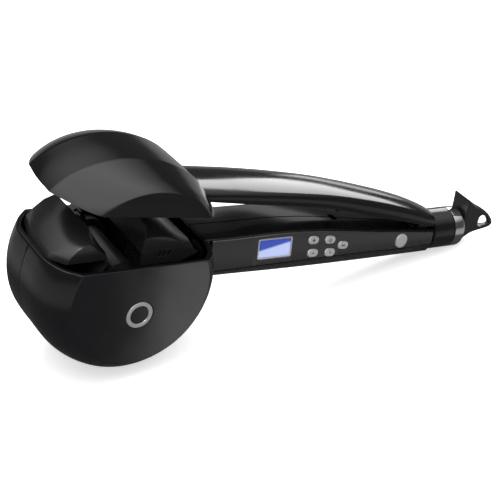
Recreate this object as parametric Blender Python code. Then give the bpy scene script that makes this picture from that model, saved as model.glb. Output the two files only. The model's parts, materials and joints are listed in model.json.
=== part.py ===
"""Automatic hair curler: a drum-shaped head with a winding rotor, and two arms that close like tongs.

Lengths are in millimetres and are turned into metres by MM as each mesh is made. The device axes are:
X from the drum axis towards the tail, Y from the face with the emblem to the far face, Z up from the
lower arm to the upper arm. The origin of these axes is the middle of the drum. The empty `device` lays
them down as the curler lies on a table, on the bowl's belly and on the tail.
"""
import math

import bmesh
import bpy
from mathutils import Vector

MM = 0.001
GAP = 0.3                      # clearance between touching pieces

# Head
NEAR_Y = -31.7                 # flat face with the emblem
FAR_Y = 31.7
SEAM_Y = 0.9                   # parting plane of the two casings
RIM_Z = 15.4                   # rim of the open bowl
BOWL_OUTSIDE = [(NEAR_Y, 0), (NEAR_Y, 35.9), (-31.2, 36.6), (-26.5, 41.1), (-22.5, 43.2), (-17, 44.9),
                (-10.7, 45.8), (2, 45.7), (15.3, 45.3), (20.5, 43.6), (26, 40.2), (FAR_Y, 35), (FAR_Y, 0)]
BOWL_INSIDE = [(-29.5, 0), (-29.5, 35.2), (-26, 38.6), (-22, 40.9), (-16.6, 42.7), (-10.4, 43.6),
               (2, 43.5), (14.8, 43.1), (19.8, 41.5), (25, 38.2), (29.5, 34.2), (29.5, 0)]
BOWL_STEPS = 52

# Cover: half ellipses, as (y, centre x, half length, height)
COVER_EDGE_Z = 15.9
COVER_EDGE_RISE = 1.2          # how much higher the cover's lower edge lies at the rear
COVER_OUTSIDE = [(NEAR_Y, -1.8, 35.2, 28.9), (-31.0, -1.9, 36.1, 29.4), (-26.5, -2.4, 40.0, 31.0),
                 (-20.5, -3.1, 43.3, 32.4), (-14.5, -3.7, 46.0, 33.6), (-9.0, -4.2, 48.2, 34.6),
                 (5, -4.0, 47.8, 34.9), (18, -3.4, 46.0, 34.9), (23, -3.2, 43.7, 33.4),
                 (28, -3.0, 40.4, 31.3), (FAR_Y, -2.9, 37.4, 29.3)]
COVER_WALL = 1.8
COVER_END_WALL = 2.0
COVER_STEPS = 28
LINER_Y = (-8.0, 16.0)
LINER_WALL = 1.2

# Lower arm: x, top z, top half width, waist z, waist half width, bottom z, bottom half width
LOWER_ARM = [
    (30, 16.3, 15.2, 0.2, 18.2, -6.9, 11.0),
    (60, 15.3, 14.8, 0.0, 17.8, -8.0, 10.6),
    (88, 14.9, 14.3, -0.5, 17.2, -9.3, 10.0),
    (115, 12.6, 13.4, -1.4, 15.9, -10.4, 9.2),
    (147, 7.8, 12.2, -3.1, 13.8, -11.4, 8.2),
    (170, 4.6, 11.2, -4.8, 12.1, -12.0, 7.4),
    (190.2, 1.6, 10.0, -5.4, 10.4, -12.7, 6.4),
]
FAR_EXTRA = (2.6, 0.3)         # how much wider the far side is at the head and at the tail
ARM_WALL = 1.8
PANEL_THICK = 1.3
PANEL_STEP = PANEL_THICK + GAP
PANEL_X = (45.6, 189.4)

# Upper arm, closed: x, crown z, shoulder z, half width, underside z
UPPER_ARM = [
    (34, 23.8, 18.8, 15.6, 16.8),
    (60, 24.6, 18.8, 15.4, 16.3),
    (88, 24.4, 18.4, 14.6, 15.9),
    (115, 23.2, 16.8, 13.4, 14.2),
    (147, 19.6, 12.6, 12.2, 9.9),
    (168, 16.1, 9.6, 11.2, 7.3),
    (182, 12.6, 7.0, 10.4, 5.2),
    (188.6, 10.4, 6.2, 9.4, 4.6),
]
UPPER_WALL = 1.6
LID_THICK = 1.5

# Hinge of the upper arm
PIVOT_X = 184.0
PIVOT_Z = -1.0
OPEN_DEG = 7.75
PIN_R = 1.5
PIN_HOLE_R = 1.85

# Tail
TAIL_Z = -2.6
TAIL_R = 10.8
COLLAR_X = (190.6, 204.4)
RING_X = (204.7, 212.0)
FIN_HALF = [(210, 6.8), (214, 6.6), (218, 5.2), (222, 3.6), (226, 2.4), (231, 1.8), (240, 1.4)]
SWIVEL_ORIGIN = (194.6, 0, TAIL_Z)

# Winding mechanism
MODULE = 0.8
ROTOR_TEETH = 50
IDLER_TEETH = 18
PINION_TEETH = 12
GEAR_Y = (18.6, 22.6)
ROTOR_GAP_DEG = 20.0
ROTOR_BORE_R = 14.6
TRAIN_DEG = -30.0              # direction of the gear train seen from the drum axis
IDLER_SPREAD_DEG = 24.557       # both idlers then meet whole teeth of the rotor and of the pinion
MANDREL_R = 7.5
MANDREL_Y = (-12.0, 29.2)
CHAMBER_R = 16.6
MOTOR_R = 9.8
MOTOR_Y = (-12.0, 14.6)

# Panel fittings: name, x, share of the panel's height (0 waist, 1 top)
KEYS = [("key_plus", 106.2, 0.69), ("key_minus", 106.4, 0.22), ("key_power", 117.0, 0.67),
        ("key_direction", 125.9, 0.43), ("key_time", 117.5, 0.18)]
KEY_LONG = 6.6
KEY_SHORT = 4.2
KEY_PROUD = 0.7
DISC_X = 166.4
DISC_SHARE = 0.50
DISC_R = 3.9
LCD_X = (72.4, 92.8)
LCD_SHARE = (0.19, 0.87)
EMBLEM_AT = (1.2, -9.8)


def clear_scene():
    for item in list(bpy.data.objects):
        bpy.data.objects.remove(item, do_unlink=True)


def material(name, colour, roughness, metallic=0.0):
    made = bpy.data.materials.new(name)
    made.use_nodes = True
    shader = made.node_tree.nodes["Principled BSDF"]
    shader.inputs["Base Color"].default_value = (*colour, 1.0)
    shader.inputs["Roughness"].default_value = roughness
    shader.inputs["Metallic"].default_value = metallic
    return made


def empty(name, parent=None, location=(0, 0, 0), turn_y_deg=0.0):
    made = bpy.data.objects.new(name, None)
    bpy.context.scene.collection.objects.link(made)
    made.parent = parent
    made.location = Vector(location) * MM
    made.rotation_euler = (0, math.radians(turn_y_deg), 0)
    return made


def solid(name, points, faces, finish, parent, origin=(0, 0, 0), smooth_deg=32):
    """One mesh object; the points are in the parent's axes and the object's origin is put at `origin`."""
    mesh = bpy.data.meshes.new(name)
    start = Vector(origin)
    mesh.from_pydata([(Vector(p) - start) * MM for p in points], [], faces)
    work = bmesh.new()
    work.from_mesh(mesh)
    bmesh.ops.recalc_face_normals(work, faces=work.faces)
    work.to_mesh(mesh)
    work.free()
    mesh.shade_smooth()
    mesh.set_sharp_from_angle(angle=math.radians(smooth_deg))
    mesh.materials.append(finish)
    made = bpy.data.objects.new(name, mesh)
    bpy.context.scene.collection.objects.link(made)
    made.parent = parent
    made.location = start * MM
    return made


def cutter(name, points, faces, parent):
    made = solid(name, points, faces, MATERIALS["guide"], parent)
    made.hide_render = True
    made.display_type = "WIRE"
    return made


def combine(target, tool, operation):
    change = target.modifiers.new(operation.lower() + "_" + tool.name, "BOOLEAN")
    change.operation = operation
    change.solver = "EXACT"
    change.object = tool
    return target


def cut(target, *tools):
    for tool in tools:
        combine(target, tool, "DIFFERENCE")
    return target


def join(target, *tools):
    for tool in tools:
        combine(target, tool, "UNION")
    return target


def on_axis(axis, along, across, up):
    """A point from its place along an axis and its two coordinates around it."""
    if axis == "X":
        return (along, across, up)
    if axis == "Y":
        return (across, along, up)
    return (across, up, along)


def turned(profile, axis, centre=(0, 0), steps=32, start_deg=0.0, sweep_deg=360.0):
    """Points and faces of a turned shape. The profile is a list of (along, radius); if it starts and ends
    on the axis the shape is full, otherwise it closes on itself as a ring or an arc."""
    full = sweep_deg >= 360.0
    ring_count = steps if full else steps + 1
    on_pole = profile[0][1] == 0
    inner = profile[1:-1] if on_pole else profile
    points = []
    for i in range(ring_count):
        angle = math.radians(start_deg + sweep_deg * i / steps)
        for along, radius in inner:
            points.append(on_axis(axis, along, centre[0] + radius * math.cos(angle),
                                  centre[1] + radius * math.sin(angle)))
    size = len(inner)
    faces = []
    spans = range(ring_count if full else ring_count - 1)
    for i in spans:
        a = i * size
        b = ((i + 1) % ring_count) * size
        last = size - 1 if on_pole else size
        for j in range(last):
            k = (j + 1) % size
            faces.append((a + j, a + k, b + k, b + j))
    if on_pole:
        poles = []
        for along in (profile[0][0], profile[-1][0]):
            poles.append(len(points))
            points.append(on_axis(axis, along, centre[0], centre[1]))
        for i in spans:
            a = i * size
            b = ((i + 1) % ring_count) * size
            faces.append((poles[0], a, b))
            faces.append((poles[1], b + size - 1, a + size - 1))
    elif not full:
        faces.append(tuple(range(size)))
        end = (ring_count - 1) * size
        faces.append(tuple(end + j for j in range(size)))
    return points, faces


def rod(axis, low, high, radius, centre=(0, 0), steps=20):
    return turned([(low, 0), (low, radius), (high, radius), (high, 0)], axis, centre, steps)


def tube(axis, low, high, outer, inner, centre=(0, 0), steps=32):
    return turned([(low, inner), (low, outer), (high, outer), (high, inner)], axis, centre, steps)


def prism(outline, axis, low, high):
    """An outline of (across, up) points pushed along an axis."""
    size = len(outline)
    points = [on_axis(axis, low, a, b) for a, b in outline] + [on_axis(axis, high, a, b) for a, b in outline]
    faces = [tuple(range(size)), tuple(range(size, 2 * size))]
    faces += [(i, (i + 1) % size, (i + 1) % size + size, i + size) for i in range(size)]
    return points, faces


def block(low, high):
    outline = [(low[0], low[2]), (high[0], low[2]), (high[0], high[2]), (low[0], high[2])]
    return prism(outline, "Y", low[1], high[1])


def loft(rings):
    size = len(rings[0])
    points = [p for ring in rings for p in ring]
    faces = [tuple(range(size)), tuple((len(rings) - 1) * size + i for i in range(size))]
    for r in range(len(rings) - 1):
        for i in range(size):
            k = (i + 1) % size
            faces.append((r * size + i, r * size + k, (r + 1) * size + k, (r + 1) * size + i))
    return points, faces


def facets(points, faces):
    """The same body with each four-sided face split in two, so that every face is flat."""
    split = []
    for face in faces:
        if len(face) == 4:
            split += [(face[0], face[1], face[2]), (face[0], face[2], face[3])]
        else:
            split.append(face)
    return points, split


def arc(centre, radius, start_deg, end_deg, steps):
    return [(centre[0] + radius * math.cos(math.radians(start_deg + (end_deg - start_deg) * i / steps)),
             centre[1] + radius * math.sin(math.radians(start_deg + (end_deg - start_deg) * i / steps)))
            for i in range(steps + 1)]


def between(table, x):
    """The row of a station table at x, by straight interpolation."""
    if x <= table[0][0]:
        return table[0]
    for low, high in zip(table, table[1:]):
        if x <= high[0]:
            share = (x - low[0]) / (high[0] - low[0])
            return tuple(a + (b - a) * share for a, b in zip(low, high))
    return table[-1]


# ---------------------------------------------------------------- lower arm and bowl

def lower_ring(x, wall, near_step):
    """One cross-section of the lower arm; the near side stands back by near_step for the panel."""
    _, top, top_half, waist, waist_half, bottom, bottom_half = between(LOWER_ARM, x)
    top -= wall
    bottom += wall
    half = [(top_half - 1.4, top), (top_half - 0.2, top - 0.2), (top_half, top - 0.8),
            (waist_half, waist - 0.4), (waist_half - 0.8, waist - 1.6),
            (bottom_half + 0.8, bottom + 0.9), (bottom_half - 1.4, bottom)]
    far = [(y - wall + far_extra(x), z) for y, z in half]
    near = [(-(y - wall - near_step), z) for y, z in reversed(half)]
    return [(x, y, z) for y, z in far + near]


def far_extra(x):
    share = min(1.0, max(0.0, (x - 30) / 160))
    return FAR_EXTRA[0] + (FAR_EXTRA[1] - FAR_EXTRA[0]) * share


def lower_arm_solid(x_list, wall, near_step):
    return loft([lower_ring(x, wall, near_step) for x in x_list])


def panel_point(x, share, depth=0.0):
    """A point on the panel's face, with share 0 at the waist and 1 at the top edge; depth goes inwards."""
    _, top, top_half, waist, waist_half, _, _ = between(LOWER_ARM, x)
    low = Vector((x, -waist_half, waist - 0.4))
    high = Vector((x, -top_half, top - 0.8))
    return low.lerp(high, share) - panel_normal(x) * depth


def panel_normal(x):
    """Outward normal of the panel's face at x."""
    _, top, top_half, waist, waist_half, _, _ = between(LOWER_ARM, x)
    up = Vector((0, waist_half - top_half, top - 0.4 - waist))
    narrowing = panel_half(x - 8) - panel_half(x + 8)
    normal = Vector((16, narrowing, 0)).cross(up).normalized()
    return normal if normal.y < 0 else -normal


def panel_half(x):
    """Mean half width of the lower arm at the panel."""
    row = between(LOWER_ARM, x)
    return 0.5 * (row[2] + row[4])


def panel_axes(x):
    """Across, up and outward axes of the panel's face at x."""
    out = panel_normal(x)
    across = Vector((1, 0, -between_slope(x))).normalized()
    across = (across - out * across.dot(out)).normalized()
    up = out.cross(across)
    if up.z < 0:
        up = -up
    return across, up, out


def between_slope(x):
    """Fall of the panel's middle line per millimetre towards the tail."""
    a = between(LOWER_ARM, x - 8)
    b = between(LOWER_ARM, x + 8)
    return (a[1] + a[3] - b[1] - b[3]) / 32.0


def panel_prism(x, share, outline, inward, outward):
    """An outline of (across, up) points in the panel's face, pushed along its normal."""
    across, up, out = panel_axes(x)
    centre = panel_point(x, share)
    rings = []
    for depth in (inward, outward):
        rings.append([tuple(centre + across * a + up * b + out * depth) for a, b in outline])
    return loft(rings)


def oval(long_side, short_side, steps=8):
    """A slot shape with round ends."""
    radius = short_side / 2
    reach = long_side / 2 - radius
    return arc((reach, 0), radius, -90, 90, steps) + arc((-reach, 0), radius, 90, 270, steps)


def circle(radius, steps=24):
    return arc((0, 0), radius, 0, 360 - 360 / steps, steps - 1)


def make_casings(parent):
    """Near and far casings: bowl and arm in one shell, parted on the seam plane."""
    stations = [row[0] for row in LOWER_ARM]
    inner_stations = [26] + stations[1:-1] + [187.6]
    halves = {"near_casing": (SEAM_Y - 0.15, 80), "far_casing": (-80, SEAM_Y + 0.15)}
    for name, (low, high) in halves.items():
        shell = solid(name, *turned(BOWL_OUTSIDE, "Y", steps=BOWL_STEPS), MATERIALS["gloss_black"], parent)
        arm = cutter(name + "_arm", *lower_arm_solid(stations, 0, PANEL_STEP), parent)
        spigot = cutter(name + "_spigot", *rod("X", 190.0, 197.6, 8.2, (0, TAIL_Z), 22), parent)
        hollow = cutter(name + "_hollow", *turned(BOWL_INSIDE, "Y", steps=BOWL_STEPS), parent)
        arm_inside = lower_arm_solid(inner_stations, ARM_WALL, PANEL_STEP)
        arm_hollow = cutter(name + "_arm_hollow", *arm_inside, parent)
        mouth = cutter(name + "_mouth", *block((-60, -60, RIM_Z), (60, 60, 80)), parent)
        slot = cutter(name + "_slot", *block((175, -7.3, -0.6), (188.1, 7.5, 20)), parent)
        bore_profile = [(180, 0), (180, 5.0), (192, 5.0), (192, 6.3), (205, 6.3), (205, 0)]
        bore = cutter(name + "_bore", *turned(bore_profile, "X", (0, TAIL_Z), 20), parent)
        side = -1 if name == "near_casing" else 1
        wall_y = sorted((side * 7.2, side * (9.9 if side > 0 else 8.5)))
        boss = cutter(name + "_boss", *rod("Y", *wall_y, 2.9, (PIVOT_X, PIVOT_Z), 16), parent)
        pin_y = sorted((side * 6.0, side * (9.0 if side > 0 else 7.9)))
        pin_hole = cutter(name + "_pin_hole", *rod("Y", *pin_y, PIN_HOLE_R, (PIVOT_X, PIVOT_Z), 14), parent)
        switch_hole = cutter(name + "_switch_hole", *block((125, -2.6, 5), (130.6, 4.4, 30)), parent)
        half_space = cutter(name + "_half", *block((-80, low, -80), (260, high, 80)), parent)
        join(shell, arm, spigot)
        cut(shell, hollow, arm_hollow, mouth, slot, bore, switch_hole, half_space)
        join(shell, boss)
        cut(shell, pin_hole)


def make_panel(parent):
    """Control panel: a plate with a window and holes for the keys and the round button."""
    rings = []
    for x in [PANEL_X[0], 60, 88, 115, 147, 170, PANEL_X[1]]:
        depth = panel_normal(x) * PANEL_THICK
        low = panel_point(x, 0.0)
        high = panel_point(x, 1.0)
        rim = 0.35
        low_edge = panel_point(x, 0.03)
        high_edge = panel_point(x, 0.97)
        rings.append([tuple(low - depth), tuple(low - depth * rim), tuple(low_edge),
                      tuple(high_edge), tuple(high - depth * rim), tuple(high - depth)])
    panel = solid("control_panel", *loft(rings), MATERIALS["panel_black"], parent)
    lcd_mid = (sum(LCD_X) / 2, sum(LCD_SHARE) / 2)
    tools = [cutter("panel_window", *panel_prism(*lcd_mid, lcd_outline(0.25), -4, 4), parent)]
    for name, x, share in KEYS:
        hole = oval(KEY_LONG + 2 * GAP, KEY_SHORT + 2 * GAP)
        tools.append(cutter("panel_hole_" + name, *panel_prism(x, share, hole, -4, 4), parent))
    tools.append(cutter("panel_hole_disc",
                        *panel_prism(DISC_X, DISC_SHARE, circle(DISC_R + GAP), -4, 4), parent))
    cut(panel, *tools)
    casing = bpy.data.objects["near_casing"]
    for name, x, share in KEYS:
        hole = oval(3.4, 2.4, 4)
        cut(casing, cutter("casing_hole_" + name, *panel_prism(x, share, hole, -8, -0.5), parent))
    disc_hole = panel_prism(DISC_X, DISC_SHARE, circle(2.2, 12), -8, -0.5)
    cut(casing, cutter("casing_hole_disc", *disc_hole, parent))
    well = panel_prism(*lcd_mid, lcd_outline(-1.0), -8, -0.5)
    cut(casing, cutter("casing_window", *well, parent))


def lcd_outline(grow):
    """The display window in the panel's face, grown on every side, with small round corners."""
    wide = (LCD_X[1] - LCD_X[0]) / 2 + grow
    x = sum(LCD_X) / 2
    tall = (panel_point(x, LCD_SHARE[1]) - panel_point(x, LCD_SHARE[0])).length / 2 + grow
    r = 0.8
    return (arc((wide - r, -tall + r), r, -90, 0, 2) + arc((wide - r, tall - r), r, 0, 90, 2)
            + arc((-wide + r, tall - r), r, 90, 180, 2) + arc((-wide + r, -tall + r), r, 180, 270, 2))


def make_panel_fittings(parent):
    """Display window, display, key board and main board behind the panel."""
    mid = (sum(LCD_X) / 2, sum(LCD_SHARE) / 2)
    solid("lcd_window", *panel_prism(*mid, lcd_outline(0), -1.2, 0.05), MATERIALS["clear"], parent)
    solid("lcd_module", *panel_prism(*mid, lcd_outline(-1.4), -4.4, -1.6), MATERIALS["display"], parent)
    solid("key_board", *block((98, -8.8, 0.6), (133, -7.6, 7.4)), MATERIALS["circuit"], parent)
    solid("main_board", *block((62, -6.0, -5.4), (150, 7.0, -3.9)), MATERIALS["circuit"], parent)
    solid("start_switch", *block((121, -2.2, 1.0), (134, 4.0, 7.0)), MATERIALS["panel_black"], parent)


def make_keys(parent):
    for name, x, share in KEYS:
        across, up, out = panel_axes(x)
        centre = panel_point(x, share)
        rings = []
        for depth, shrink in ((-0.85, 0.0), (KEY_PROUD - 0.35, 0.0),
                              (KEY_PROUD - 0.08, 0.25), (KEY_PROUD, 0.75)):
            outline = oval(KEY_LONG - 2 * shrink, KEY_SHORT - 2 * shrink, 6)
            rings.append([tuple(centre + across * a + up * b + out * depth) for a, b in outline])
        key = solid(name, *loft(rings), MATERIALS["silver"], parent, origin=tuple(centre))
        stem = cutter(name + "_stem", *panel_prism(x, share, oval(2.6, 1.6, 4), -4.3, -0.7), parent)
        join(key, stem)
    across, up, out = panel_axes(DISC_X)
    centre = panel_point(DISC_X, DISC_SHARE)
    rings = []
    for depth, radius in ((-0.85, DISC_R), (0.45, DISC_R), (0.7, DISC_R - 0.3), (0.75, DISC_R - 0.9)):
        rings.append([tuple(centre + across * a + up * b + out * depth) for a, b in circle(radius, 24)])
    disc = solid("round_button", *loft(rings), MATERIALS["silver"], parent, origin=tuple(centre))
    join(disc, cutter("round_button_stem",
                      *panel_prism(DISC_X, DISC_SHARE, circle(1.6, 10), -4.3, -0.7), parent))


def make_emblem(parent):
    """Plain silver ring let into the near face."""
    groove = tube("Y", NEAR_Y - 1, NEAR_Y + 1.1, 7.0, 4.6, EMBLEM_AT, 32)
    cut(bpy.data.objects["near_casing"], cutter("emblem_groove", *groove, parent))
    emblem = tube("Y", NEAR_Y + 0.05, NEAR_Y + 0.8, 6.8, 4.8, EMBLEM_AT, 32)
    solid("face_emblem", *emblem, MATERIALS["chrome"], parent)


# ---------------------------------------------------------------- hair guides

def make_guides(parent):
    """Two hollow jaws that lead the hair down to the barrel, with a V-shaped notch between them."""
    front_near = [(-34.4, 14.6), (-33.0, 17.6), (-30.2, 20.8), (-26.4, 23.4),
                  (-24.0, 24.0), (-19.0, 20.0), (-13.6, 14.6)]
    front_mid = [(-40.4, 13.8), (-38.0, 16.8), (-33.2, 20.6), (-27.2, 23.6),
                 (-20.2, 25), (-14.2, 18), (-9.8, 13.2)]
    front_far = [(-35.2, 13.8), (-34.2, 16.6), (-31.0, 20.2), (-26.2, 23.0),
                 (-20.2, 24.2), (-14.2, 18), (-9.8, 13.2)]
    rear_near = [(3.6, 15.8), (4.6, 23.6), (9.2, 24), (14.4, 23.6), (20, 22.0), (25.4, 19.2), (31.8, 16.2)]
    rear_mid = [(4.6, 15.8), (9.7, 25.0), (13.4, 25.4), (18, 24.4), (22.6, 22.2), (27.2, 19.2),
                (33.4, 16.2)]
    rear_far = [(4.6, 15.8), (11.4, 24.6), (14.8, 24.8), (19.4, 23.0), (23.4, 20.8), (27.4, 18.4),
                (31.6, 16.2)]
    rotor_room = rod("Y", GEAR_Y[0] - 3.8, 40, 22.4, steps=46)
    for name, near, mid, far in (("front_guide", front_near, front_mid, front_far),
                                 ("rear_guide", rear_near, rear_mid, rear_far)):
        places = ((-19.8, near), (-10.7, mid), (8, mid), (24.4, far))
        rings = [[(x, y, z) for x, z in row] for y, row in places]
        jaw = solid(name, *facets(*loft(rings)), MATERIALS["guide_black"], parent, smooth_deg=24)
        inner = []
        for y, row in ((-18.2, near), (-10.2, mid), (8, mid), (22.9, far)):
            middle_x = sum(x for x, _ in row) / len(row)
            middle_z = 8.0
            inner.append([(x + (middle_x - x) * 0.13, y, z + (middle_z - z) * 0.13) for x, z in row])
        lowest = [[(x, y, 4.0 if i in (0, len(ring) - 1) else z) for i, (x, y, z) in enumerate(ring)]
                  for ring in inner]
        cut(jaw, cutter(name + "_rotor_room", *rotor_room, parent))
        cut(jaw, cutter(name + "_hollow", *facets(*loft(lowest)), parent))
    apron = prism([(4.3, 9.4), (4.1, 17.3), (29.4, 17.3), (34.6, 13.4), (26, 9.4)], "Y", -20.1, -18.7)
    join(bpy.data.objects["rear_guide"], cutter("rear_apron", *apron, parent))


# ---------------------------------------------------------------- winding mechanism

def gear_outline(teeth, start_deg=0.0, sweep_deg=360.0):
    """Tooth outline of an external gear, or of part of one."""
    pitch = MODULE * teeth / 2
    root = pitch - 1.1 * MODULE
    tip = pitch + 0.85 * MODULE
    step = 360.0 / teeth
    outline = []
    count = int(round(sweep_deg / step))
    for i in range(count):
        middle = start_deg + step * (i + 0.5)
        for share, radius in ((-0.34, root), (-0.12, tip), (0.12, tip), (0.34, root)):
            angle = math.radians(middle + share * step)
            outline.append((radius * math.cos(angle), radius * math.sin(angle)))
    return outline


def train_point(angle_deg, distance):
    angle = math.radians(TRAIN_DEG + angle_deg)
    return (distance * math.cos(angle), distance * math.sin(angle))


def idler_distance():
    return MODULE * (ROTOR_TEETH + IDLER_TEETH) / 2


def pinion_distance():
    reach = idler_distance()
    side = reach * math.sin(math.radians(IDLER_SPREAD_DEG))
    mesh = MODULE * (IDLER_TEETH + PINION_TEETH) / 2
    return reach * math.cos(math.radians(IDLER_SPREAD_DEG)) + math.sqrt(mesh * mesh - side * side)


def gear_phase(teeth, centre, other_centre, other_teeth, other_phase_deg):
    """Turn of a gear whose tooth gap meets a tooth of its neighbour. A phase of 0 has a gap on +X."""
    to_me = math.degrees(math.atan2(centre[1] - other_centre[1], centre[0] - other_centre[0]))
    other_share = ((to_me - other_phase_deg) / (360.0 / other_teeth)) % 1.0
    my_share = (0.5 - other_share) % 1.0
    return to_me + 180.0 - my_share * 360.0 / teeth


def make_rotor(parent):
    """Gear ring with a gap for the hair, and the hook that carries the hair around the barrel."""
    step = 360.0 / ROTOR_TEETH
    start = 90 + ROTOR_GAP_DEG
    sweep = 360 - 2 * ROTOR_GAP_DEG
    count = int(sweep / step)
    spare = (sweep - count * step) / 2
    outer = gear_outline(ROTOR_TEETH, start + spare, count * step)
    bore = arc((0, 0), ROTOR_BORE_R, start + sweep, start, 36)
    ring = solid("rotor", *prism(outer + bore, "Y", *GEAR_Y), MATERIALS["nylon"], parent)
    collar_low = GEAR_Y[1] - 0.2
    profile = [(collar_low, ROTOR_BORE_R), (collar_low, 16.4), (27.6, 16.4), (27.6, ROTOR_BORE_R)]
    collar = turned(profile, "Y", steps=36, start_deg=start, sweep_deg=sweep)
    join(ring, cutter("rotor_collar", *collar, parent))
    hook_angle = math.radians(150)
    foot = (15.6 * math.cos(hook_angle), 15.6 * math.sin(hook_angle))
    pad = rod("Y", GEAR_Y[0] - 3.4, GEAR_Y[0] - GAP, 1.8, foot, 12)
    hook = solid("winding_hook", *pad, MATERIALS["steel"], parent)
    tip_angle = math.radians(138)
    inner = [(11.0 * math.cos(tip_angle), 11.0 * math.sin(tip_angle))]
    direction = math.atan2(foot[1] - inner[0][1], foot[0] - inner[0][0])
    side = (-math.sin(direction) * 1.1, math.cos(direction) * 1.1)
    bar = [(foot[0] + side[0], foot[1] + side[1]), (foot[0] - side[0], foot[1] - side[1]),
           (inner[0][0] - side[0], inner[0][1] - side[1]), (inner[0][0] + side[0], inner[0][1] + side[1])]
    join(hook, cutter("hook_bar", *prism(bar, "Y", GEAR_Y[0] - 3.2, GEAR_Y[0] - 1.2), parent))
    join(hook, cutter("hook_finger", *rod("Y", -8.0, GEAR_Y[0] - 1.8, 1.2, inner[0], 10), parent))


def make_gear(name, teeth, centre, phase_deg, bore_r, low, high, finish, parent):
    turn = math.radians(phase_deg)
    placed = [(centre[0] + x * math.cos(turn) - z * math.sin(turn),
               centre[1] + x * math.sin(turn) + z * math.cos(turn)) for x, z in gear_outline(teeth)]
    gear = solid(name, *prism(placed, "Y", low, high), finish, parent, origin=(centre[0], 0, centre[1]))
    cut(gear, cutter(name + "_bore", *rod("Y", low - 1, high + 1, bore_r, centre, 16), parent))
    return gear


def make_gear_train(parent):
    """Two idlers that bridge the rotor's gap in turn, and the motor pinion that drives both."""
    rotor_step = 360.0 / ROTOR_TEETH
    sweep = 360 - 2 * ROTOR_GAP_DEG
    spare = (sweep - int(sweep / rotor_step) * rotor_step) / 2
    rotor_phase = 90 + ROTOR_GAP_DEG + spare
    first = train_point(IDLER_SPREAD_DEG, idler_distance())
    second = train_point(-IDLER_SPREAD_DEG, idler_distance())
    pinion = train_point(0, pinion_distance())
    first_phase = gear_phase(IDLER_TEETH, first, (0, 0), ROTOR_TEETH, rotor_phase)
    second_phase = gear_phase(IDLER_TEETH, second, (0, 0), ROTOR_TEETH, rotor_phase)
    pinion_phase = gear_phase(PINION_TEETH, pinion, first, IDLER_TEETH, first_phase)
    low, high = GEAR_Y[0] + 0.3, GEAR_Y[1] - 0.3
    nylon = MATERIALS["nylon"]
    make_gear("upper_idler", IDLER_TEETH, first, first_phase, 1.5, low, high, nylon, parent)
    make_gear("lower_idler", IDLER_TEETH, second, second_phase, 1.5, low, high, nylon, parent)
    make_gear("motor_pinion", PINION_TEETH, pinion, pinion_phase, 1.3, low, high, MATERIALS["brass"], parent)
    for name, centre in (("upper_idler_pin", first), ("lower_idler_pin", second)):
        solid(name, *rod("Y", 16.0, GEAR_Y[1] + 1.2, 1.2, centre, 12), MATERIALS["steel"], parent)
    make_motor(parent, pinion, first, second)


def make_motor(parent, pinion, first, second):
    """Motor under the rear guide, and the plate that carries it and the idler pins."""
    low, high = MOTOR_Y
    profile = [(low, 0), (low, 3.0), (low + 1.6, 3.0), (low + 1.6, MOTOR_R - 0.5), (low + 2.1, MOTOR_R),
               (high, MOTOR_R), (high, 0.95), (22.4, 0.95), (22.4, 0)]
    solid("motor", *turned(profile, "Y", pinion, 28), MATERIALS["steel"], parent)
    hull = hull_outline([(pinion, 8.6), (first, 3.6), (second, 3.6)])
    plate = solid("motor_plate", *prism(hull, "Y", high + GAP, 16.9), MATERIALS["steel"], parent)
    cut(plate, cutter("motor_plate_bore", *rod("Y", 10, 20, 2.4, pinion, 16), parent))
    for name, centre in (("plate_hole_a", first), ("plate_hole_b", second)):
        cut(plate, cutter(name, *rod("Y", 10, 20, 1.5, centre, 12), parent))


def hull_outline(discs):
    """Convex outline around a few discs."""
    dots = []
    for centre, radius in discs:
        dots += arc(centre, radius, 0, 348, 29)
    dots = sorted(set((round(x, 4), round(z, 4)) for x, z in dots))

    def chain(items):
        line = []
        for p in items:
            while len(line) > 1 and turn_of(line[-2], line[-1], p) <= 0:
                line.pop()
            line.append(p)
        return line[:-1]
    return chain(dots) + chain(reversed(dots))


def turn_of(a, b, c):
    return (b[0] - a[0]) * (c[1] - a[1]) - (b[1] - a[1]) * (c[0] - a[0])


def make_chamber(parent):
    """Heated barrel with its heater and cap, the chamber around it, and the rotor's bearing."""
    barrel = turned([(MANDREL_Y[0], 4.6), (MANDREL_Y[0], MANDREL_R), (24.0, MANDREL_R), (24.6, 10.6),
                     (MANDREL_Y[1], 10.6), (MANDREL_Y[1], 4.6)], "Y", steps=32)
    solid("heated_barrel", *barrel, MATERIALS["ceramic_coat"], parent)
    near = MANDREL_Y[0]
    core = rod("Y", near + 1.6, MANDREL_Y[1] - 2, 4.2, steps=16)
    solid("heater_core", *core, MATERIALS["steel"], parent)
    cap = turned([(near - 3.6, 0), (near - 3.6, 4.4), (near - 2.6, 6.6), (near - GAP, 7.2),
                  (near - GAP, 4.2), (near + 1.2, 4.2), (near + 1.2, 0)], "Y", steps=32)
    solid("barrel_cap", *cap, MATERIALS["panel_black"], parent)
    liner = turned([(-18.6, CHAMBER_R), (-18.6, CHAMBER_R + 1.2), (14.2, CHAMBER_R + 1.2), (14.2, CHAMBER_R)],
                   "Y", steps=32, start_deg=136, sweep_deg=268)
    solid("chamber_liner", *liner, MATERIALS["ceramic_coat"], parent)
    bearing = turned([(24.2, 16.8), (24.2, 19.4), (29.2, 19.4), (29.2, 13.6), (27.9, 13.6), (27.9, 16.8)],
                     "Y", steps=36, start_deg=90 + ROTOR_GAP_DEG + 2, sweep_deg=356 - 2 * ROTOR_GAP_DEG)
    solid("rotor_bearing", *bearing, MATERIALS["nylon"], parent)


# ---------------------------------------------------------------- upper arm and head cover

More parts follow.
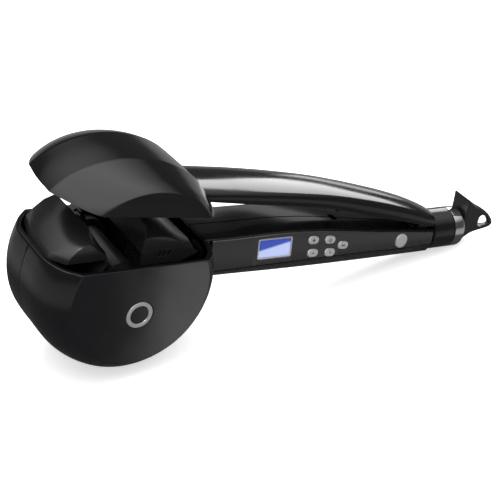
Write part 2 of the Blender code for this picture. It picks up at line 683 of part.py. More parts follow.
def cover_ring(row, shrink, edge_z, steps):
    """Half ellipse from the front edge over the top to the rear edge, cut at edge_z."""
    y, centre_x, half, height = row
    a = half - shrink
    b = height - shrink
    front = math.asin(min(0.98, edge_z / b))
    rear = math.asin(min(0.98, (edge_z + COVER_EDGE_RISE) / b))
    points = []
    for i in range(steps + 1):
        angle = math.pi - front - (math.pi - front - rear) * i / steps
        points.append((centre_x + a * math.cos(angle), y, b * math.sin(angle)))
    return points


def cover_solid(shrink, low_y, high_y, edge_z, steps=COVER_STEPS):
    """Full solid under the dome, from low_y to high_y, with its base at edge_z."""
    rows = [row for row in COVER_OUTSIDE if low_y < row[0] < high_y]
    rows = [cover_row(low_y)] + rows + [cover_row(high_y)]
    return loft([cover_ring(row, shrink, edge_z, steps) for row in rows])


def cover_row(y):
    return (y, *between(COVER_OUTSIDE, y)[1:])


def make_head_cover(parent):
    """Dome with flat end walls that closes over the guides; the hair leaves by a notch in the far wall."""
    low_y = COVER_OUTSIDE[0][0]
    high_y = COVER_OUTSIDE[-1][0]
    dome = cover_solid(0, low_y, high_y, COVER_EDGE_Z)
    cover = solid("head_cover", *dome, MATERIALS["gloss_black"], parent)
    hollow = cover_solid(COVER_WALL, low_y + COVER_END_WALL, high_y - COVER_END_WALL, COVER_EDGE_Z - 6)
    cut(cover, cutter("cover_hollow", *hollow, parent))
    notch = prism([(-10, 10), (5, 10), (3, 23), (-8, 23)], "Y", high_y - 6, high_y + 2)
    cut(cover, cutter("cover_notch", *notch, parent))
    liner = cover_solid(COVER_WALL + GAP, *LINER_Y, COVER_EDGE_Z + 2.0, 28)
    made = solid("cover_liner", *liner, MATERIALS["panel_black"], parent)
    inside = [cover_ring(cover_row(y), COVER_WALL + GAP + LINER_WALL, COVER_EDGE_Z - 4, 28)
              for y in (LINER_Y[0] - 2, 4, LINER_Y[1] + 2)]
    cut(made, cutter("liner_hollow", *loft(inside), parent))


def upper_ring(x, wall, steps=7):
    """One cross-section of the upper arm's shell: flat underside, short sides and a crowned top."""
    _, crown, shoulder, half, under = between(UPPER_ARM, x)
    half -= wall
    crown -= wall
    shoulder -= wall * 0.4
    points = [(x, half, under), (x, half, shoulder)]
    for i in range(1, steps):
        angle = math.pi * i / steps
        points.append((x, half * math.cos(angle), shoulder + (crown - shoulder) * math.sin(angle) ** 0.8))
    return points + [(x, -half, shoulder), (x, -half, under)]


def make_upper_arm(parent):
    """Crowned shell and the lid under it, which carries the hinge lugs and the switch rib."""
    stations = [row[0] for row in UPPER_ARM]
    shell = solid("arm_cover", *loft([upper_ring(x, 0) for x in stations]), MATERIALS["gloss_black"], parent)
    inner = [32] + stations[1:-1] + [187.0]
    hollow = [[(x, y, z - (4 if i in (0, len(ring) - 1) else 0)) for i, (x, y, z) in enumerate(ring)]
              for ring in (upper_ring(x, UPPER_WALL) for x in inner)]
    cut(shell, cutter("arm_cover_hollow", *loft(hollow), parent))
    dome = cover_solid(-GAP, COVER_OUTSIDE[0][0], COVER_OUTSIDE[-1][0], 2.0)
    cut(shell, cutter("arm_cover_dome", *dome, parent))
    rings = []
    for x in [46] + [s for s in stations if 46 < s < 180] + [186.6]:
        _, _, _, half, under = between(UPPER_ARM, x)
        side = half - UPPER_WALL - GAP
        upper = under + LID_THICK
        rings.append([(x, side, under), (x, side, upper), (x, -side, upper), (x, -side, under)])
    lid = solid("arm_lid", *loft(rings), MATERIALS["panel_black"], parent)
    for index, low in enumerate((-6.6, 4.0)):
        foot = arc((PIVOT_X, PIVOT_Z), 3.6, 180, 360, 10)
        outline = foot + [(186.4, 5.2), (180.6, 6.4)]
        lug = cutter("lug_%d" % index, *prism(outline, "Y", low, low + 2.6), parent)
        join(lid, lug)
    cut(lid, cutter("lug_bore", *rod("Y", -9, 9, PIN_HOLE_R, (PIVOT_X, PIVOT_Z), 16), parent))
    join(lid, cutter("switch_rib", *block((126.4, -1.4, 7.4), (128.8, 3.2, 15.4)), parent))


# ---------------------------------------------------------------- hinge, tail and fasteners

def make_hinge(parent):
    solid("hinge_pin", *rod("Y", -7.6, 8.7, PIN_R, (PIVOT_X, PIVOT_Z), 16), MATERIALS["steel"], parent)
    wire = 0.4
    coil_r = 2.7
    turns = 4
    pitch = 1.2
    start_y = -turns * pitch / 2
    per_turn = 10
    points = [(174.5, start_y, -7.6), (178.5, start_y, -6.0)]
    for i in range(turns * per_turn + per_turn // 2 + 1):
        angle = math.radians(-110) - 2 * math.pi * i / per_turn
        points.append((PIVOT_X + coil_r * math.cos(angle), start_y + pitch * i / per_turn,
                       PIVOT_Z + coil_r * math.sin(angle)))
    end_y = points[-1][1]
    points += [(179.6, end_y, 3.6), (176.2, end_y, 4.9)]
    line = bpy.data.curves.new("hinge_spring", "CURVE")
    line.dimensions = "3D"
    line.bevel_depth = wire * MM
    line.bevel_resolution = 1
    line.use_fill_caps = True
    run = line.splines.new("POLY")
    run.points.add(len(points) - 1)
    for spot, place in zip(run.points, points):
        spot.co = (*(Vector(place) * MM), 1.0)
    line.materials.append(MATERIALS["steel"])
    spring = bpy.data.objects.new("hinge_spring", line)
    bpy.context.scene.collection.objects.link(spring)
    spring.parent = parent


def make_tail(parent):
    """Collar, bright ring and bearing on the lower arm; the swivelling end with its hanging hole."""
    centre = (0, TAIL_Z)
    collar = turned([(COLLAR_X[0], 8.5), (COLLAR_X[0], TAIL_R - 0.3), (COLLAR_X[0] + 0.3, TAIL_R),
                     (COLLAR_X[1], TAIL_R), (COLLAR_X[1], 8.5)], "X", centre, 32)
    solid("tail_collar", *collar, MATERIALS["gloss_black"], parent)
    front, back = RING_X
    ring = turned([(front, 8.5), (front, TAIL_R), (back - 1.4, TAIL_R), (back - 0.4, TAIL_R - 0.5),
                   (back, TAIL_R - 1.4), (back, 8.5)], "X", centre, 32)
    solid("tail_ring", *ring, MATERIALS["chrome"], parent)
    solid("swivel_bearing", *tube("X", 197.9, 211.4, 8.2, 5.6, centre, 28), MATERIALS["nylon"], parent)
    end = turned([(194.6, 3.2), (194.6, 5.9), (196.4, 5.9), (196.4, 5.2), (212.3, 5.2), (212.3, 9.0),
                  (214.2, 9.0), (216.5, 7.6), (216.5, 3.2)], "X", centre, 24)
    body = solid("swivel_end", *end, MATERIALS["satin_black"], parent, origin=SWIVEL_ORIGIN)
    fin = [(212.4, -8.2), (216, -7.9), (222, -7.6), (228, -7.2), (233.6, -6.6), (237.8, -5.8), (239.6, -4.6),
           (239.8, -3.2), (238.2, -0.6), (235.2, 2.4), (231.6, 5.0), (227.4, 7.4), (223.5, 9.0),
           (223.2, 10.4), (216.8, 14.4), (210.4, 18.4), (211.2, 12.0), (212.4, 8.0)]
    slim = 0.7
    middle = (222.0, 0.5)
    rings = []
    for side, share_out in ((-1, slim), (-1, 0.0), (1, 0.0), (1, slim)):
        ring_points = []
        for x, z in fin:
            reach = math.hypot(x - middle[0], z - middle[1])
            share = 1 - share_out / reach
            edge = 0.0 if share_out else slim
            half = between(FIN_HALF, x)[1] - edge
            ring_points.append((middle[0] + (x - middle[0]) * share, side * half,
                                middle[1] + (z - middle[1]) * share))
        rings.append(ring_points)
    join(body, cutter("swivel_fin", *loft(rings), parent))
    drop = arc((230.2, -0.9), 3.5, 95, 265, 8) + [(234.0, -4.4), (237.0, -4.0), (237.2, -2.6), (234.2, 1.2)]
    cut(body, cutter("hanging_hole", *prism(drop, "Y", -9, 9), parent))
    slope = math.atan2(10.2 - 18.2, 223.3 - 210.2)
    out = Vector((-math.sin(slope), 0, math.cos(slope)))
    seat = Vector((216.6, 0, 14.2))
    make_gland(parent, body, seat, out)


def make_gland(parent, body, seat, out):
    """Grommet in the swivel's slanted edge, where the lead enters; its channel leads to the hollow axle."""
    side = out.cross(Vector((0, 1, 0)))

    def lined(profile, steps):
        rings = []
        for depth, radius in profile:
            rings.append([tuple(seat + out * depth + side * a + Vector((0, b, 0)))
                          for a, b in circle(radius, steps)])
        return loft(rings)

    cut(body, cutter("gland_seat", *lined([(-2.6, 3.3), (6, 3.3)], 20), parent))
    cut(body, cutter("gland_channel", *lined([(-13.6, 1.9), (2, 1.9)], 16), parent))
    outside = lined([(-2.3, 3.0), (-0.3, 3.0), (0.0, 2.7)], 20)
    gland = solid("cord_gland", *outside, MATERIALS["rubber"], parent, origin=SWIVEL_ORIGIN)
    cut(gland, cutter("gland_bore", *lined([(-5, 1.9), (5, 1.9)], 16), parent))


def make_screws(parent):
    """Casing screws, sunk in the far casing."""
    casing = bpy.data.objects["far_casing"]
    for index, (x, z) in enumerate(((66.0, 6.4), (140.0, 1.0), (0.0, -27.0))):
        half = panel_half(x) + far_extra(x) if index < 2 else FAR_Y
        face = half - 1.5
        head = rod("Y", face - 0.8, face + 0.6, 2.2, (x, z), 16)
        screw = solid("casing_screw_%d" % (index + 1), *head, MATERIALS["steel"], parent, origin=(x, face, z))
        cross = [(x - 1.2, z - 0.25), (x + 1.2, z - 0.25), (x + 1.2, z + 0.25), (x - 1.2, z + 0.25)]
        slot = [(x - 0.25, z - 1.2), (x + 0.25, z - 1.2), (x + 0.25, z + 1.2), (x - 0.25, z + 1.2)]
        for letter, outline in (("a", cross), ("b", slot)):
            recess = prism(outline, "Y", face, face + 3)
            cut(screw, cutter("screw_%d_%s" % (index, letter), *recess, parent))
        pad = rod("Y", face - 3.0, face + 0.4, 3.6, (x, z), 16)
        pocket = rod("Y", face - 1.1, face + 6, 2.5, (x, z), 16)
        join(casing, cutter("screw_%d_pad" % index, *pad, parent))
        cut(casing, cutter("screw_%d_pocket" % index, *pocket, parent))


MATERIALS = {}


def make_materials():
    MATERIALS.update({
        "gloss_black": material("gloss_black", (0.012, 0.012, 0.013), 0.16),
        "panel_black": material("panel_black", (0.03, 0.03, 0.032), 0.34),
        "guide_black": material("guide_black", (0.02, 0.02, 0.022), 0.28),
        "satin_black": material("satin_black", (0.018, 0.018, 0.018), 0.42),
        "chrome": material("chrome", (0.78, 0.78, 0.79), 0.12, 1.0),
        "silver": material("silver", (0.62, 0.63, 0.65), 0.3, 0.8),
        "steel": material("steel", (0.5, 0.51, 0.53), 0.35, 1.0),
        "brass": material("brass", (0.72, 0.53, 0.24), 0.3, 1.0),
        "ceramic_coat": material("ceramic_coat", (0.07, 0.07, 0.075), 0.3, 0.3),
        "nylon": material("nylon", (0.03, 0.03, 0.032), 0.45),
        "clear": material("clear", (0.35, 0.45, 0.8), 0.08),
        "display": material("display", (0.1, 0.2, 0.75), 0.3),
        "circuit": material("circuit", (0.03, 0.2, 0.09), 0.5),
        "rubber": material("rubber", (0.02, 0.02, 0.02), 0.7),
        "guide": material("guide", (0.8, 0.3, 0.3), 0.5),
    })


def rest_frame():
    """Tilt and lift of the device on a table: the line under both the belly and the tail ring."""
    belly = max(radius for _, radius in BOWL_OUTSIDE)
    tail = (RING_X[1] - 1.4, TAIL_Z - TAIL_R)
    reach = math.hypot(*tail)
    tilt = math.asin(belly / reach) - math.atan2(-tail[1], tail[0])
    return math.degrees(tilt), belly


def main():
    clear_scene()
    make_materials()
    tilt_deg, lift = rest_frame()
    turn = math.radians(tilt_deg)
    low_x = -lift
    high_x = 239.8 * math.cos(turn) - 5.8 * math.sin(turn)
    device = empty("device", None, (-(low_x + high_x) / 2, 0, lift), tilt_deg)
    open_arm = empty("arm_hinge", device, (PIVOT_X, 0, PIVOT_Z), OPEN_DEG)
    upper = empty("upper_arm_axes", open_arm, (-PIVOT_X, 0, -PIVOT_Z))
    make_casings(device)
    make_panel(device)
    make_panel_fittings(device)
    make_keys(device)
    make_emblem(device)
    make_guides(device)
    make_chamber(device)
    make_rotor(device)
    make_gear_train(device)
    make_head_cover(upper)
    make_upper_arm(upper)
    make_hinge(device)
    make_tail(device)
    make_screws(device)


main()
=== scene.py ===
"""Looks of the automatic hair curler: fine shells, fittings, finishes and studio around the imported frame.

Shapes are written in millimetres in the device's own axes: X from the drum axis to the tail, Y from the
emblem face to the far face, Z from the lower arm to the upper arm, with the origin in the middle of the
drum. DEVICE lays them down in the row frame; UPPER also opens the upper arm, whose shapes are written
closed.
"""
import json
import math

import bmesh
import bpy
from mathutils import Matrix, Vector


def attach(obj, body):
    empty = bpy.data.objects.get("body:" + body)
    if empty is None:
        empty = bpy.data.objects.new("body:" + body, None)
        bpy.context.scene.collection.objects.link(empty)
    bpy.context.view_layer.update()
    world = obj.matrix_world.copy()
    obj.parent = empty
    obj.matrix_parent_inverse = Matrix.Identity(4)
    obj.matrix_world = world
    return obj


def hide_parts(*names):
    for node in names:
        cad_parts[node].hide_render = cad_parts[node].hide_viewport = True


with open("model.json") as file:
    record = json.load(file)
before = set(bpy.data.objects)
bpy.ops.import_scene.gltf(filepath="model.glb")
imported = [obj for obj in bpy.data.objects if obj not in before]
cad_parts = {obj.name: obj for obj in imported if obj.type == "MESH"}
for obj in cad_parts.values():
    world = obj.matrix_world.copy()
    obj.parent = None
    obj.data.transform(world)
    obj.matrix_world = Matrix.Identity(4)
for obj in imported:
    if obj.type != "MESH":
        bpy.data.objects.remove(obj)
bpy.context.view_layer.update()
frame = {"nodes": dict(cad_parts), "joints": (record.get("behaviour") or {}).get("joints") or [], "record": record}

MM = 0.001
JOINTS = {joint["name"]: joint for joint in frame["joints"]}
PIVOT = (184.0, -1.0)
OPEN_DEG = 7.75

drum_axis = Vector(JOINTS["rotor_spin"]["pos_m"])
hinge_axis = Vector(JOINTS["arm_close"]["pos_m"])
TILT = (math.atan2(drum_axis.z - hinge_axis.z, hinge_axis.x - drum_axis.x)
        - math.atan2(-PIVOT[1], PIVOT[0]))
TURN = Matrix.Rotation(TILT, 4, "Y")
DEVICE = Matrix.Translation((drum_axis.x, 0, drum_axis.z)) @ TURN @ Matrix.Scale(MM, 4)
UPPER = (DEVICE @ Matrix.Translation((PIVOT[0], 0, PIVOT[1]))
         @ Matrix.Rotation(math.radians(OPEN_DEG), 4, "Y") @ Matrix.Translation((-PIVOT[0], 0, -PIVOT[1])))

SEAM_Y = 0.9
RIM_Z = 15.4
BOWL_OUTSIDE = [(-31.7, 35.8), (-31.2, 36.5), (-26.5, 41.0), (-22.5, 43.1), (-17, 44.8), (-10.7, 45.7),
                (2, 45.6), (15.3, 45.2), (20.5, 43.5), (26, 40.1), (31.7, 34.9)]
BOWL_INSIDE = [(-29.5, 35.2), (-26, 38.6), (-22, 40.9), (-16.6, 42.7), (-10.4, 43.6), (2, 43.5),
               (14.8, 43.1), (19.8, 41.5), (25, 38.2), (29.5, 34.2)]
COVER_EDGE_Z = 15.9
COVER_EDGE_RISE = 1.2
COVER_NEAR = [(-31.7, -1.8, 35.2, 28.9), (-31.0, -1.9, 36.1, 29.4), (-26.5, -2.4, 40.0, 31.0),
              (-20.5, -3.1, 43.3, 32.4), (-14.5, -3.7, 46.0, 33.6), (-9.0, -4.2, 48.2, 34.6)]
COVER_TOP = [(-9.0, -4.2, 48.2, 34.6), (5, -4.0, 47.8, 34.9), (18, -3.4, 46.0, 34.9)]
COVER_FAR = [(18, -3.4, 46.0, 34.9), (23, -3.2, 43.7, 33.4), (28, -3.0, 40.4, 31.3), (31.7, -2.9, 37.4, 29.3)]
CREASES_Y = (-9.0, 18.0)
HAIR_NOTCH = [(-10, 8), (5, 8), (3, 23), (-8, 23)]
COVER_WALL = 1.8
COVER_END_WALL = 2.0
LOWER_ARM = [
    (30, 16.3, 15.2, 0.2, 18.2, -6.9, 11.0),
    (60, 15.3, 14.8, 0.0, 17.8, -8.0, 10.6),
    (88, 14.9, 14.3, -0.5, 17.2, -9.3, 10.0),
    (115, 12.6, 13.4, -1.4, 15.9, -10.4, 9.2),
    (147, 7.8, 12.2, -3.1, 13.8, -11.4, 8.2),
    (170, 4.6, 11.2, -4.8, 12.1, -12.0, 7.4),
    (190.2, 1.6, 10.0, -5.4, 10.4, -12.7, 6.4),
]
FAR_EXTRA = (2.6, 0.3)
UPPER_ARM = [
    (34, 23.8, 18.8, 15.6, 16.8),
    (60, 24.6, 18.8, 15.4, 16.3),
    (88, 24.4, 18.4, 14.6, 15.9),
    (115, 23.2, 16.8, 13.4, 14.2),
    (147, 19.6, 12.6, 12.2, 9.9),
    (168, 16.1, 9.6, 11.2, 7.3),
    (182, 12.6, 7.0, 10.4, 5.2),
    (188.6, 10.4, 6.2, 9.4, 4.6),
]
TAIL_Z = -2.6
TAIL_R = 10.8
PANEL_X = (45.6, 189.4)
KEY_SIZE = (6.6, 4.2)
KEY_HOLE = (7.1, 4.7)
KEYS = [("key_plus", 106.2, 0.69), ("key_minus", 106.4, 0.22), ("key_power", 117.0, 0.67),
        ("key_direction", 125.9, 0.43), ("key_time", 117.5, 0.18)]
DISC_AT = (166.4, 0.50)
DISC_R = 3.9
LCD_X = (72.4, 92.8)
LCD_SHARE = (0.19, 0.87)
LCD_CORNER = 0.9
EMBLEM_AT = (1.2, -9.8)


# ---------------------------------------------------------------- finishes

def link(tree, a, b):
    tree.links.new(a, b)


def finish(name, colour, roughness, metallic=0.0, spread=0.05, grain=900.0, bump=0.02, tone=0.12,
           edge_lighten=0.0, stretch=(1, 1, 1), specular=0.5):
    """A Principled finish whose colour, roughness and surface vary finely over the object."""
    made = bpy.data.materials.new(name)
    made.use_nodes = True
    tree = made.node_tree
    shader = tree.nodes["Principled BSDF"]
    shader.inputs["Metallic"].default_value = metallic
    shader.inputs["Specular IOR Level"].default_value = specular
    place = tree.nodes.new("ShaderNodeTexCoord")
    mapping = tree.nodes.new("ShaderNodeMapping")
    mapping.inputs["Scale"].default_value = stretch
    link(tree, place.outputs["Object"], mapping.inputs["Vector"])
    fine = tree.nodes.new("ShaderNodeTexNoise")
    fine.inputs["Scale"].default_value = grain
    fine.inputs["Detail"].default_value = 3.0
    link(tree, mapping.outputs["Vector"], fine.inputs["Vector"])
    broad = tree.nodes.new("ShaderNodeTexNoise")
    broad.inputs["Scale"].default_value = 45.0
    broad.inputs["Detail"].default_value = 4.0
    link(tree, mapping.outputs["Vector"], broad.inputs["Vector"])
    rough = tree.nodes.new("ShaderNodeMapRange")
    rough.inputs["From Min"].default_value = 0.3
    rough.inputs["From Max"].default_value = 0.7
    rough.inputs["To Min"].default_value = max(0.02, roughness - spread)
    rough.inputs["To Max"].default_value = roughness + spread
    link(tree, broad.outputs["Fac"], rough.inputs["Value"])
    link(tree, rough.outputs["Result"], shader.inputs["Roughness"])
    shade = tree.nodes.new("ShaderNodeMix")
    shade.data_type = "RGBA"
    shade.inputs["A"].default_value = (*[c * (1 - tone) for c in colour], 1)
    shade.inputs["B"].default_value = (*[min(1, c * (1 + tone)) for c in colour], 1)
    link(tree, fine.outputs["Fac"], shade.inputs["Factor"])
    result = shade.outputs["Result"]
    # convex edges (high pointiness) are made lighter, by up to this amount
    if edge_lighten:
        geometry = tree.nodes.new("ShaderNodeNewGeometry")
        edge = tree.nodes.new("ShaderNodeMapRange")
        edge.inputs["From Min"].default_value = 0.52
        edge.inputs["From Max"].default_value = 0.62
        edge.inputs["To Max"].default_value = edge_lighten
        link(tree, geometry.outputs["Pointiness"], edge.inputs["Value"])
        lighter_edges = tree.nodes.new("ShaderNodeMix")
        lighter_edges.data_type = "RGBA"
        lighter_edges.inputs["B"].default_value = (*[min(1, c * 1.6 + 0.03) for c in colour], 1)
        link(tree, edge.outputs["Result"], lighter_edges.inputs["Factor"])
        link(tree, result, lighter_edges.inputs["A"])
        result = lighter_edges.outputs["Result"]
    link(tree, result, shader.inputs["Base Color"])
    relief = tree.nodes.new("ShaderNodeBump")
    relief.inputs["Strength"].default_value = bump
    relief.inputs["Distance"].default_value = 0.0002
    link(tree, fine.outputs["Fac"], relief.inputs["Height"])
    link(tree, relief.outputs["Normal"], shader.inputs["Normal"])
    return made


FINISH_SETTINGS = {
    "gloss_black": dict(colour=(0.006, 0.006, 0.007), roughness=0.13, spread=0.03, grain=700, bump=0.008,
                        edge_lighten=0.05),
    "panel_black": dict(colour=(0.018, 0.018, 0.019), roughness=0.30, grain=2600, bump=0.05, edge_lighten=0.08),
    "guide_black": dict(colour=(0.014, 0.014, 0.015), roughness=0.24, spread=0.04, grain=1800, bump=0.03,
                        edge_lighten=0.06),
    "satin_black": dict(colour=(0.012, 0.012, 0.012), roughness=0.36, grain=2400, bump=0.05, edge_lighten=0.08),
    "chrome": dict(colour=(0.74, 0.74, 0.75), roughness=0.12, metallic=1.0, spread=0.03, grain=1500,
                   bump=0.01, tone=0.03),
    "silver": dict(colour=(0.60, 0.61, 0.62), roughness=0.34, metallic=0.75, grain=3200, bump=0.06,
                   tone=0.08),
    "steel": dict(colour=(0.48, 0.49, 0.5), roughness=0.33, metallic=1.0, spread=0.08, grain=1400, bump=0.05,
                  tone=0.1, stretch=(0.15, 1, 1)),
    "brass": dict(colour=(0.68, 0.5, 0.22), roughness=0.3, metallic=1.0, spread=0.06, grain=1200, bump=0.04,
                  tone=0.1),
    "ceramic_coat": dict(colour=(0.05, 0.05, 0.054), roughness=0.3, metallic=0.2, grain=2200, bump=0.05),
    "nylon": dict(colour=(0.02, 0.02, 0.021), roughness=0.4, spread=0.06, grain=1200, bump=0.04, tone=0.06),
    "clear": dict(colour=(0.55, 0.62, 0.9), roughness=0.05, spread=0.02, grain=500, bump=0.004),
    "display": dict(colour=(0.05, 0.12, 0.5), roughness=0.3, spread=0.04, grain=3000, bump=0.01, tone=0.25),
    "circuit": dict(colour=(0.02, 0.14, 0.06), roughness=0.45, spread=0.08, grain=900, bump=0.1, tone=0.3),
    "rubber": dict(colour=(0.015, 0.015, 0.015), roughness=0.62, spread=0.06, grain=1600, bump=0.12),
}
FINISH = {name: finish(name, **settings) for name, settings in FINISH_SETTINGS.items()}

DISPLAY_BLUE = (0.03, 0.06, 0.36)
# painted reflection: the pale colour laid over the display below the edge height, and that edge height in metres
PAINTED_REFLECTION_COLOUR = (0.42, 0.48, 0.76)
PAINTED_REFLECTION_EDGE = (0.0414, 0.0403)


def display_painted_reflection():
    """The display's face: deep blue above an edge height in metres, with a painted pale reflection below it."""
    made = finish("display_painted_reflection", DISPLAY_BLUE, 0.12, grain=2600, bump=0.004, tone=0.15)
    tree = made.node_tree
    shader = tree.nodes["Principled BSDF"]
    place = tree.nodes.new("ShaderNodeTexCoord")
    along = tree.nodes.new("ShaderNodeVectorMath")
    along.operation = "DOT_PRODUCT"
    along.inputs[1].default_value = (0.0, 0.0, -1.0)
    link(tree, place.outputs["Object"], along.inputs[0])
    # painted reflection: the share of pale colour, rising below the edge height
    reflection_share = tree.nodes.new("ShaderNodeMapRange")
    reflection_share.inputs["From Min"].default_value = -PAINTED_REFLECTION_EDGE[0]
    reflection_share.inputs["From Max"].default_value = -PAINTED_REFLECTION_EDGE[1]
    link(tree, along.outputs["Value"], reflection_share.inputs["Value"])
    reflection_mix = tree.nodes.new("ShaderNodeMix")
    reflection_mix.data_type = "RGBA"
    blue = shader.inputs["Base Color"].links[0].from_socket
    link(tree, reflection_share.outputs["Result"], reflection_mix.inputs["Factor"])
    link(tree, blue, reflection_mix.inputs["A"])
    reflection_mix.inputs["B"].default_value = (*PAINTED_REFLECTION_COLOUR, 1)
    link(tree, reflection_mix.outputs["Result"], shader.inputs["Base Color"])
    return made


FINISH["display_painted_reflection"] = display_painted_reflection()


# ---------------------------------------------------------------- mesh tools

WELD = 0.00001
BEVEL_SEGMENTS = 3
FLAT_AREA = 30e-6
FLAT_CORNERS = 8


def new_object(name, points, faces, axes, weld=False):
    """An object with outward normals; its points are in mm in `axes`."""
    mesh = bpy.data.meshes.new(name)
    mesh.from_pydata([axes @ Vector(p) for p in points], [], faces)
    work = bmesh.new()
    work.from_mesh(mesh)
    if weld:
        bmesh.ops.remove_doubles(work, verts=work.verts, dist=WELD)
    bmesh.ops.recalc_face_normals(work, faces=work.faces)
    work.to_mesh(mesh)
    work.free()
    made = bpy.data.objects.new(name, mesh)
    bpy.context.scene.collection.objects.link(made)
    return made


def cut_away(made, cuts, axes):
    """Takes each closed shape (points, faces) in `cuts` out of the piece."""
    tools = []
    for index, (points, faces) in enumerate(cuts):
        tool = new_object("cut_%d" % index, points, faces, axes)
        change = made.modifiers.new("cut", "BOOLEAN")
        change.operation = "DIFFERENCE"
        change.solver = "EXACT"
        change.object = tool
        tools.append(tool)
    bake(made)
    for tool in tools:
        bpy.data.objects.remove(tool, do_unlink=True)


def piece(name, points, faces, body, slot, stands_for=(), axes=DEVICE, bevel=0.0, limit_deg=28.0,
          smooth_deg=38.0, cuts=(), finish_name=None):
    """One finished piece: points in mm, optional straight cuts, rounded edges, smooth shading, its body.

    Broad faces with many corners, such as flat end walls, are shaded flat.
    """
    made = new_object(name, points, faces, axes, weld=True)
    if cuts:
        cut_away(made, cuts, axes)
    if bevel:
        change = made.modifiers.new("edges", "BEVEL")
        change.width = bevel * MM
        change.segments = BEVEL_SEGMENTS
        change.limit_method = "ANGLE"
        change.angle_limit = math.radians(limit_deg)
        change.harden_normals = True
        change.miter_outer = "MITER_ARC"
        made.data.shade_smooth()
        bake(made)
    made.data.shade_smooth()
    made.data.set_sharp_from_angle(angle=math.radians(smooth_deg))
    for face in made.data.polygons:
        if face.area > FLAT_AREA and len(face.vertices) > FLAT_CORNERS:
            face.use_smooth = False
    made.data.materials.clear()
    made.data.materials.append(FINISH[finish_name or slot])
    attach(made, body)
    if stands_for:
        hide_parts(*stands_for)
    return made


def bake(made):
    """Turns the modifiers' result into the piece's own mesh."""
    bpy.context.view_layer.update()
    seen = made.evaluated_get(bpy.context.evaluated_depsgraph_get())
    mesh = bpy.data.meshes.new_from_object(seen)
    made.modifiers.clear()
    made.data = mesh


def smooth_row(table, x):
    """The row of a station table at x, on a smooth curve through the stations."""
    rows = len(table)
    if x <= table[0][0]:
        return table[0]
    if x >= table[-1][0]:
        return table[-1]
    i = max(k for k in range(rows - 1) if table[k][0] <= x)
    low, high = table[i], table[i + 1]
    before = table[max(i - 1, 0)]
    after = table[min(i + 2, rows - 1)]
    span = high[0] - low[0]
    t = (x - low[0]) / span
    row = [x]
    for a, b, c, d in zip(before[1:], low[1:], high[1:], after[1:]):
        slope_low = (c - a) / (high[0] - before[0]) * span
        slope_high = (d - b) / (after[0] - low[0]) * span
        row.append((2 * t**3 - 3 * t**2 + 1) * b + (t**3 - 2 * t**2 + t) * slope_low
                   + (3 * t**2 - 2 * t**3) * c + (t**3 - t**2) * slope_high)
    return tuple(row)


def steps(low, high, count):
    return [low + (high - low) * i / count for i in range(count + 1)]


def loft(rings):
    """A closed body through a row of rings, with flat ends."""
    size = len(rings[0])
    points = [p for ring in rings for p in ring]
    faces = [tuple(range(size)), tuple((len(rings) - 1) * size + i for i in range(size))]
    for r in range(len(rings) - 1):
        for i in range(size):
            k = (i + 1) % size
            faces.append((r * size + i, r * size + k, (r + 1) * size + k, (r + 1) * size + i))
    return points, faces


def block(low, high):
    rings = [[(x, low[1], low[2]), (x, high[1], low[2]), (x, high[1], high[2]), (x, low[1], high[2])]
             for x in (low[0], high[0])]
    return loft(rings)


def closed_loop(rings):
    """A body through a row of rings whose last ring meets the first."""
    count = len(rings)
    size = len(rings[0])
    points = [p for ring in rings for p in ring]
    faces = []
    for r in range(count):
        n = (r + 1) % count
        for i in range(size):
            k = (i + 1) % size
            faces.append((r * size + i, r * size + k, n * size + k, n * size + i))
    return points, faces


def turned(profile, axis, centre, count=96):
    """A closed ring profile of (along, radius) turned about an axis of the device."""
    rings = []
    for i in range(count):
        angle = 2 * math.pi * i / count
        a = math.cos(angle)
        b = math.sin(angle)
        if axis == "X":
            rings.append([(along, centre[0] + r * a, centre[1] + r * b) for along, r in profile])
        else:
            rings.append([(centre[0] + r * a, along, centre[1] + r * b) for along, r in profile])
    return closed_loop(rings)


def arc(centre, radius, start_deg, end_deg, count):
    return [(centre[0] + radius * math.cos(math.radians(start_deg + (end_deg - start_deg) * i / count)),
             centre[1] + radius * math.sin(math.radians(start_deg + (end_deg - start_deg) * i / count)))
            for i in range(count + 1)]


def shell(outer, inner):
    """A thin open shell from two grids of points [row][column], joined along all their borders.

    The last rows are closed by flat faces; the first rows are joined by a strip. The columns' ends lie in
    one plane, which becomes the rim.
    """
    rows = len(outer)
    cols = len(outer[0])
    rows_in = len(inner)
    points = [p for row in outer for p in row] + [p for row in inner for p in row]
    base = rows * cols
    faces = []
    for r in range(rows - 1):
        for c in range(cols - 1):
            faces.append((r * cols + c, r * cols + c + 1, (r + 1) * cols + c + 1, (r + 1) * cols + c))
    for r in range(rows_in - 1):
        for c in range(cols - 1):
            faces.append((base + r * cols + c, base + (r + 1) * cols + c,
                          base + (r + 1) * cols + c + 1, base + r * cols + c + 1))
    for c in range(cols - 1):
        faces.append((c, base + c, base + c + 1, c + 1))
    last_out = (rows - 1) * cols
    last_in = base + (rows_in - 1) * cols
    faces.append(tuple(last_out + c for c in range(cols)))
    faces.append(tuple(last_in + c for c in range(cols)))
    rim = [r * cols for r in range(rows)]
    rim += [r * cols + cols - 1 for r in reversed(range(rows))]
    rim += [base + r * cols + cols - 1 for r in range(rows_in)]
    rim += [base + r * cols for r in reversed(range(rows_in))]
    faces.append(tuple(rim))
    return points, faces


# ---------------------------------------------------------------- bowl and lower arm

ARC_STEPS = 112
LEAN = 0.7
LEAN_START_Y = -18.0
LEAN_OVER = 13.0


def bowl_row(y, radius):
    """One arc of the bowl; towards the near face the arcs lean over to the tail's side."""
    low = math.asin(RIM_Z / radius)
    lean = LEAN * min(1.0, max(0.0, (LEAN_START_Y - y) / LEAN_OVER))
    return [(lean + radius * math.cos(angle), y, radius * math.sin(angle))
            for angle in steps(math.pi - low, 2 * math.pi + low, ARC_STEPS)]


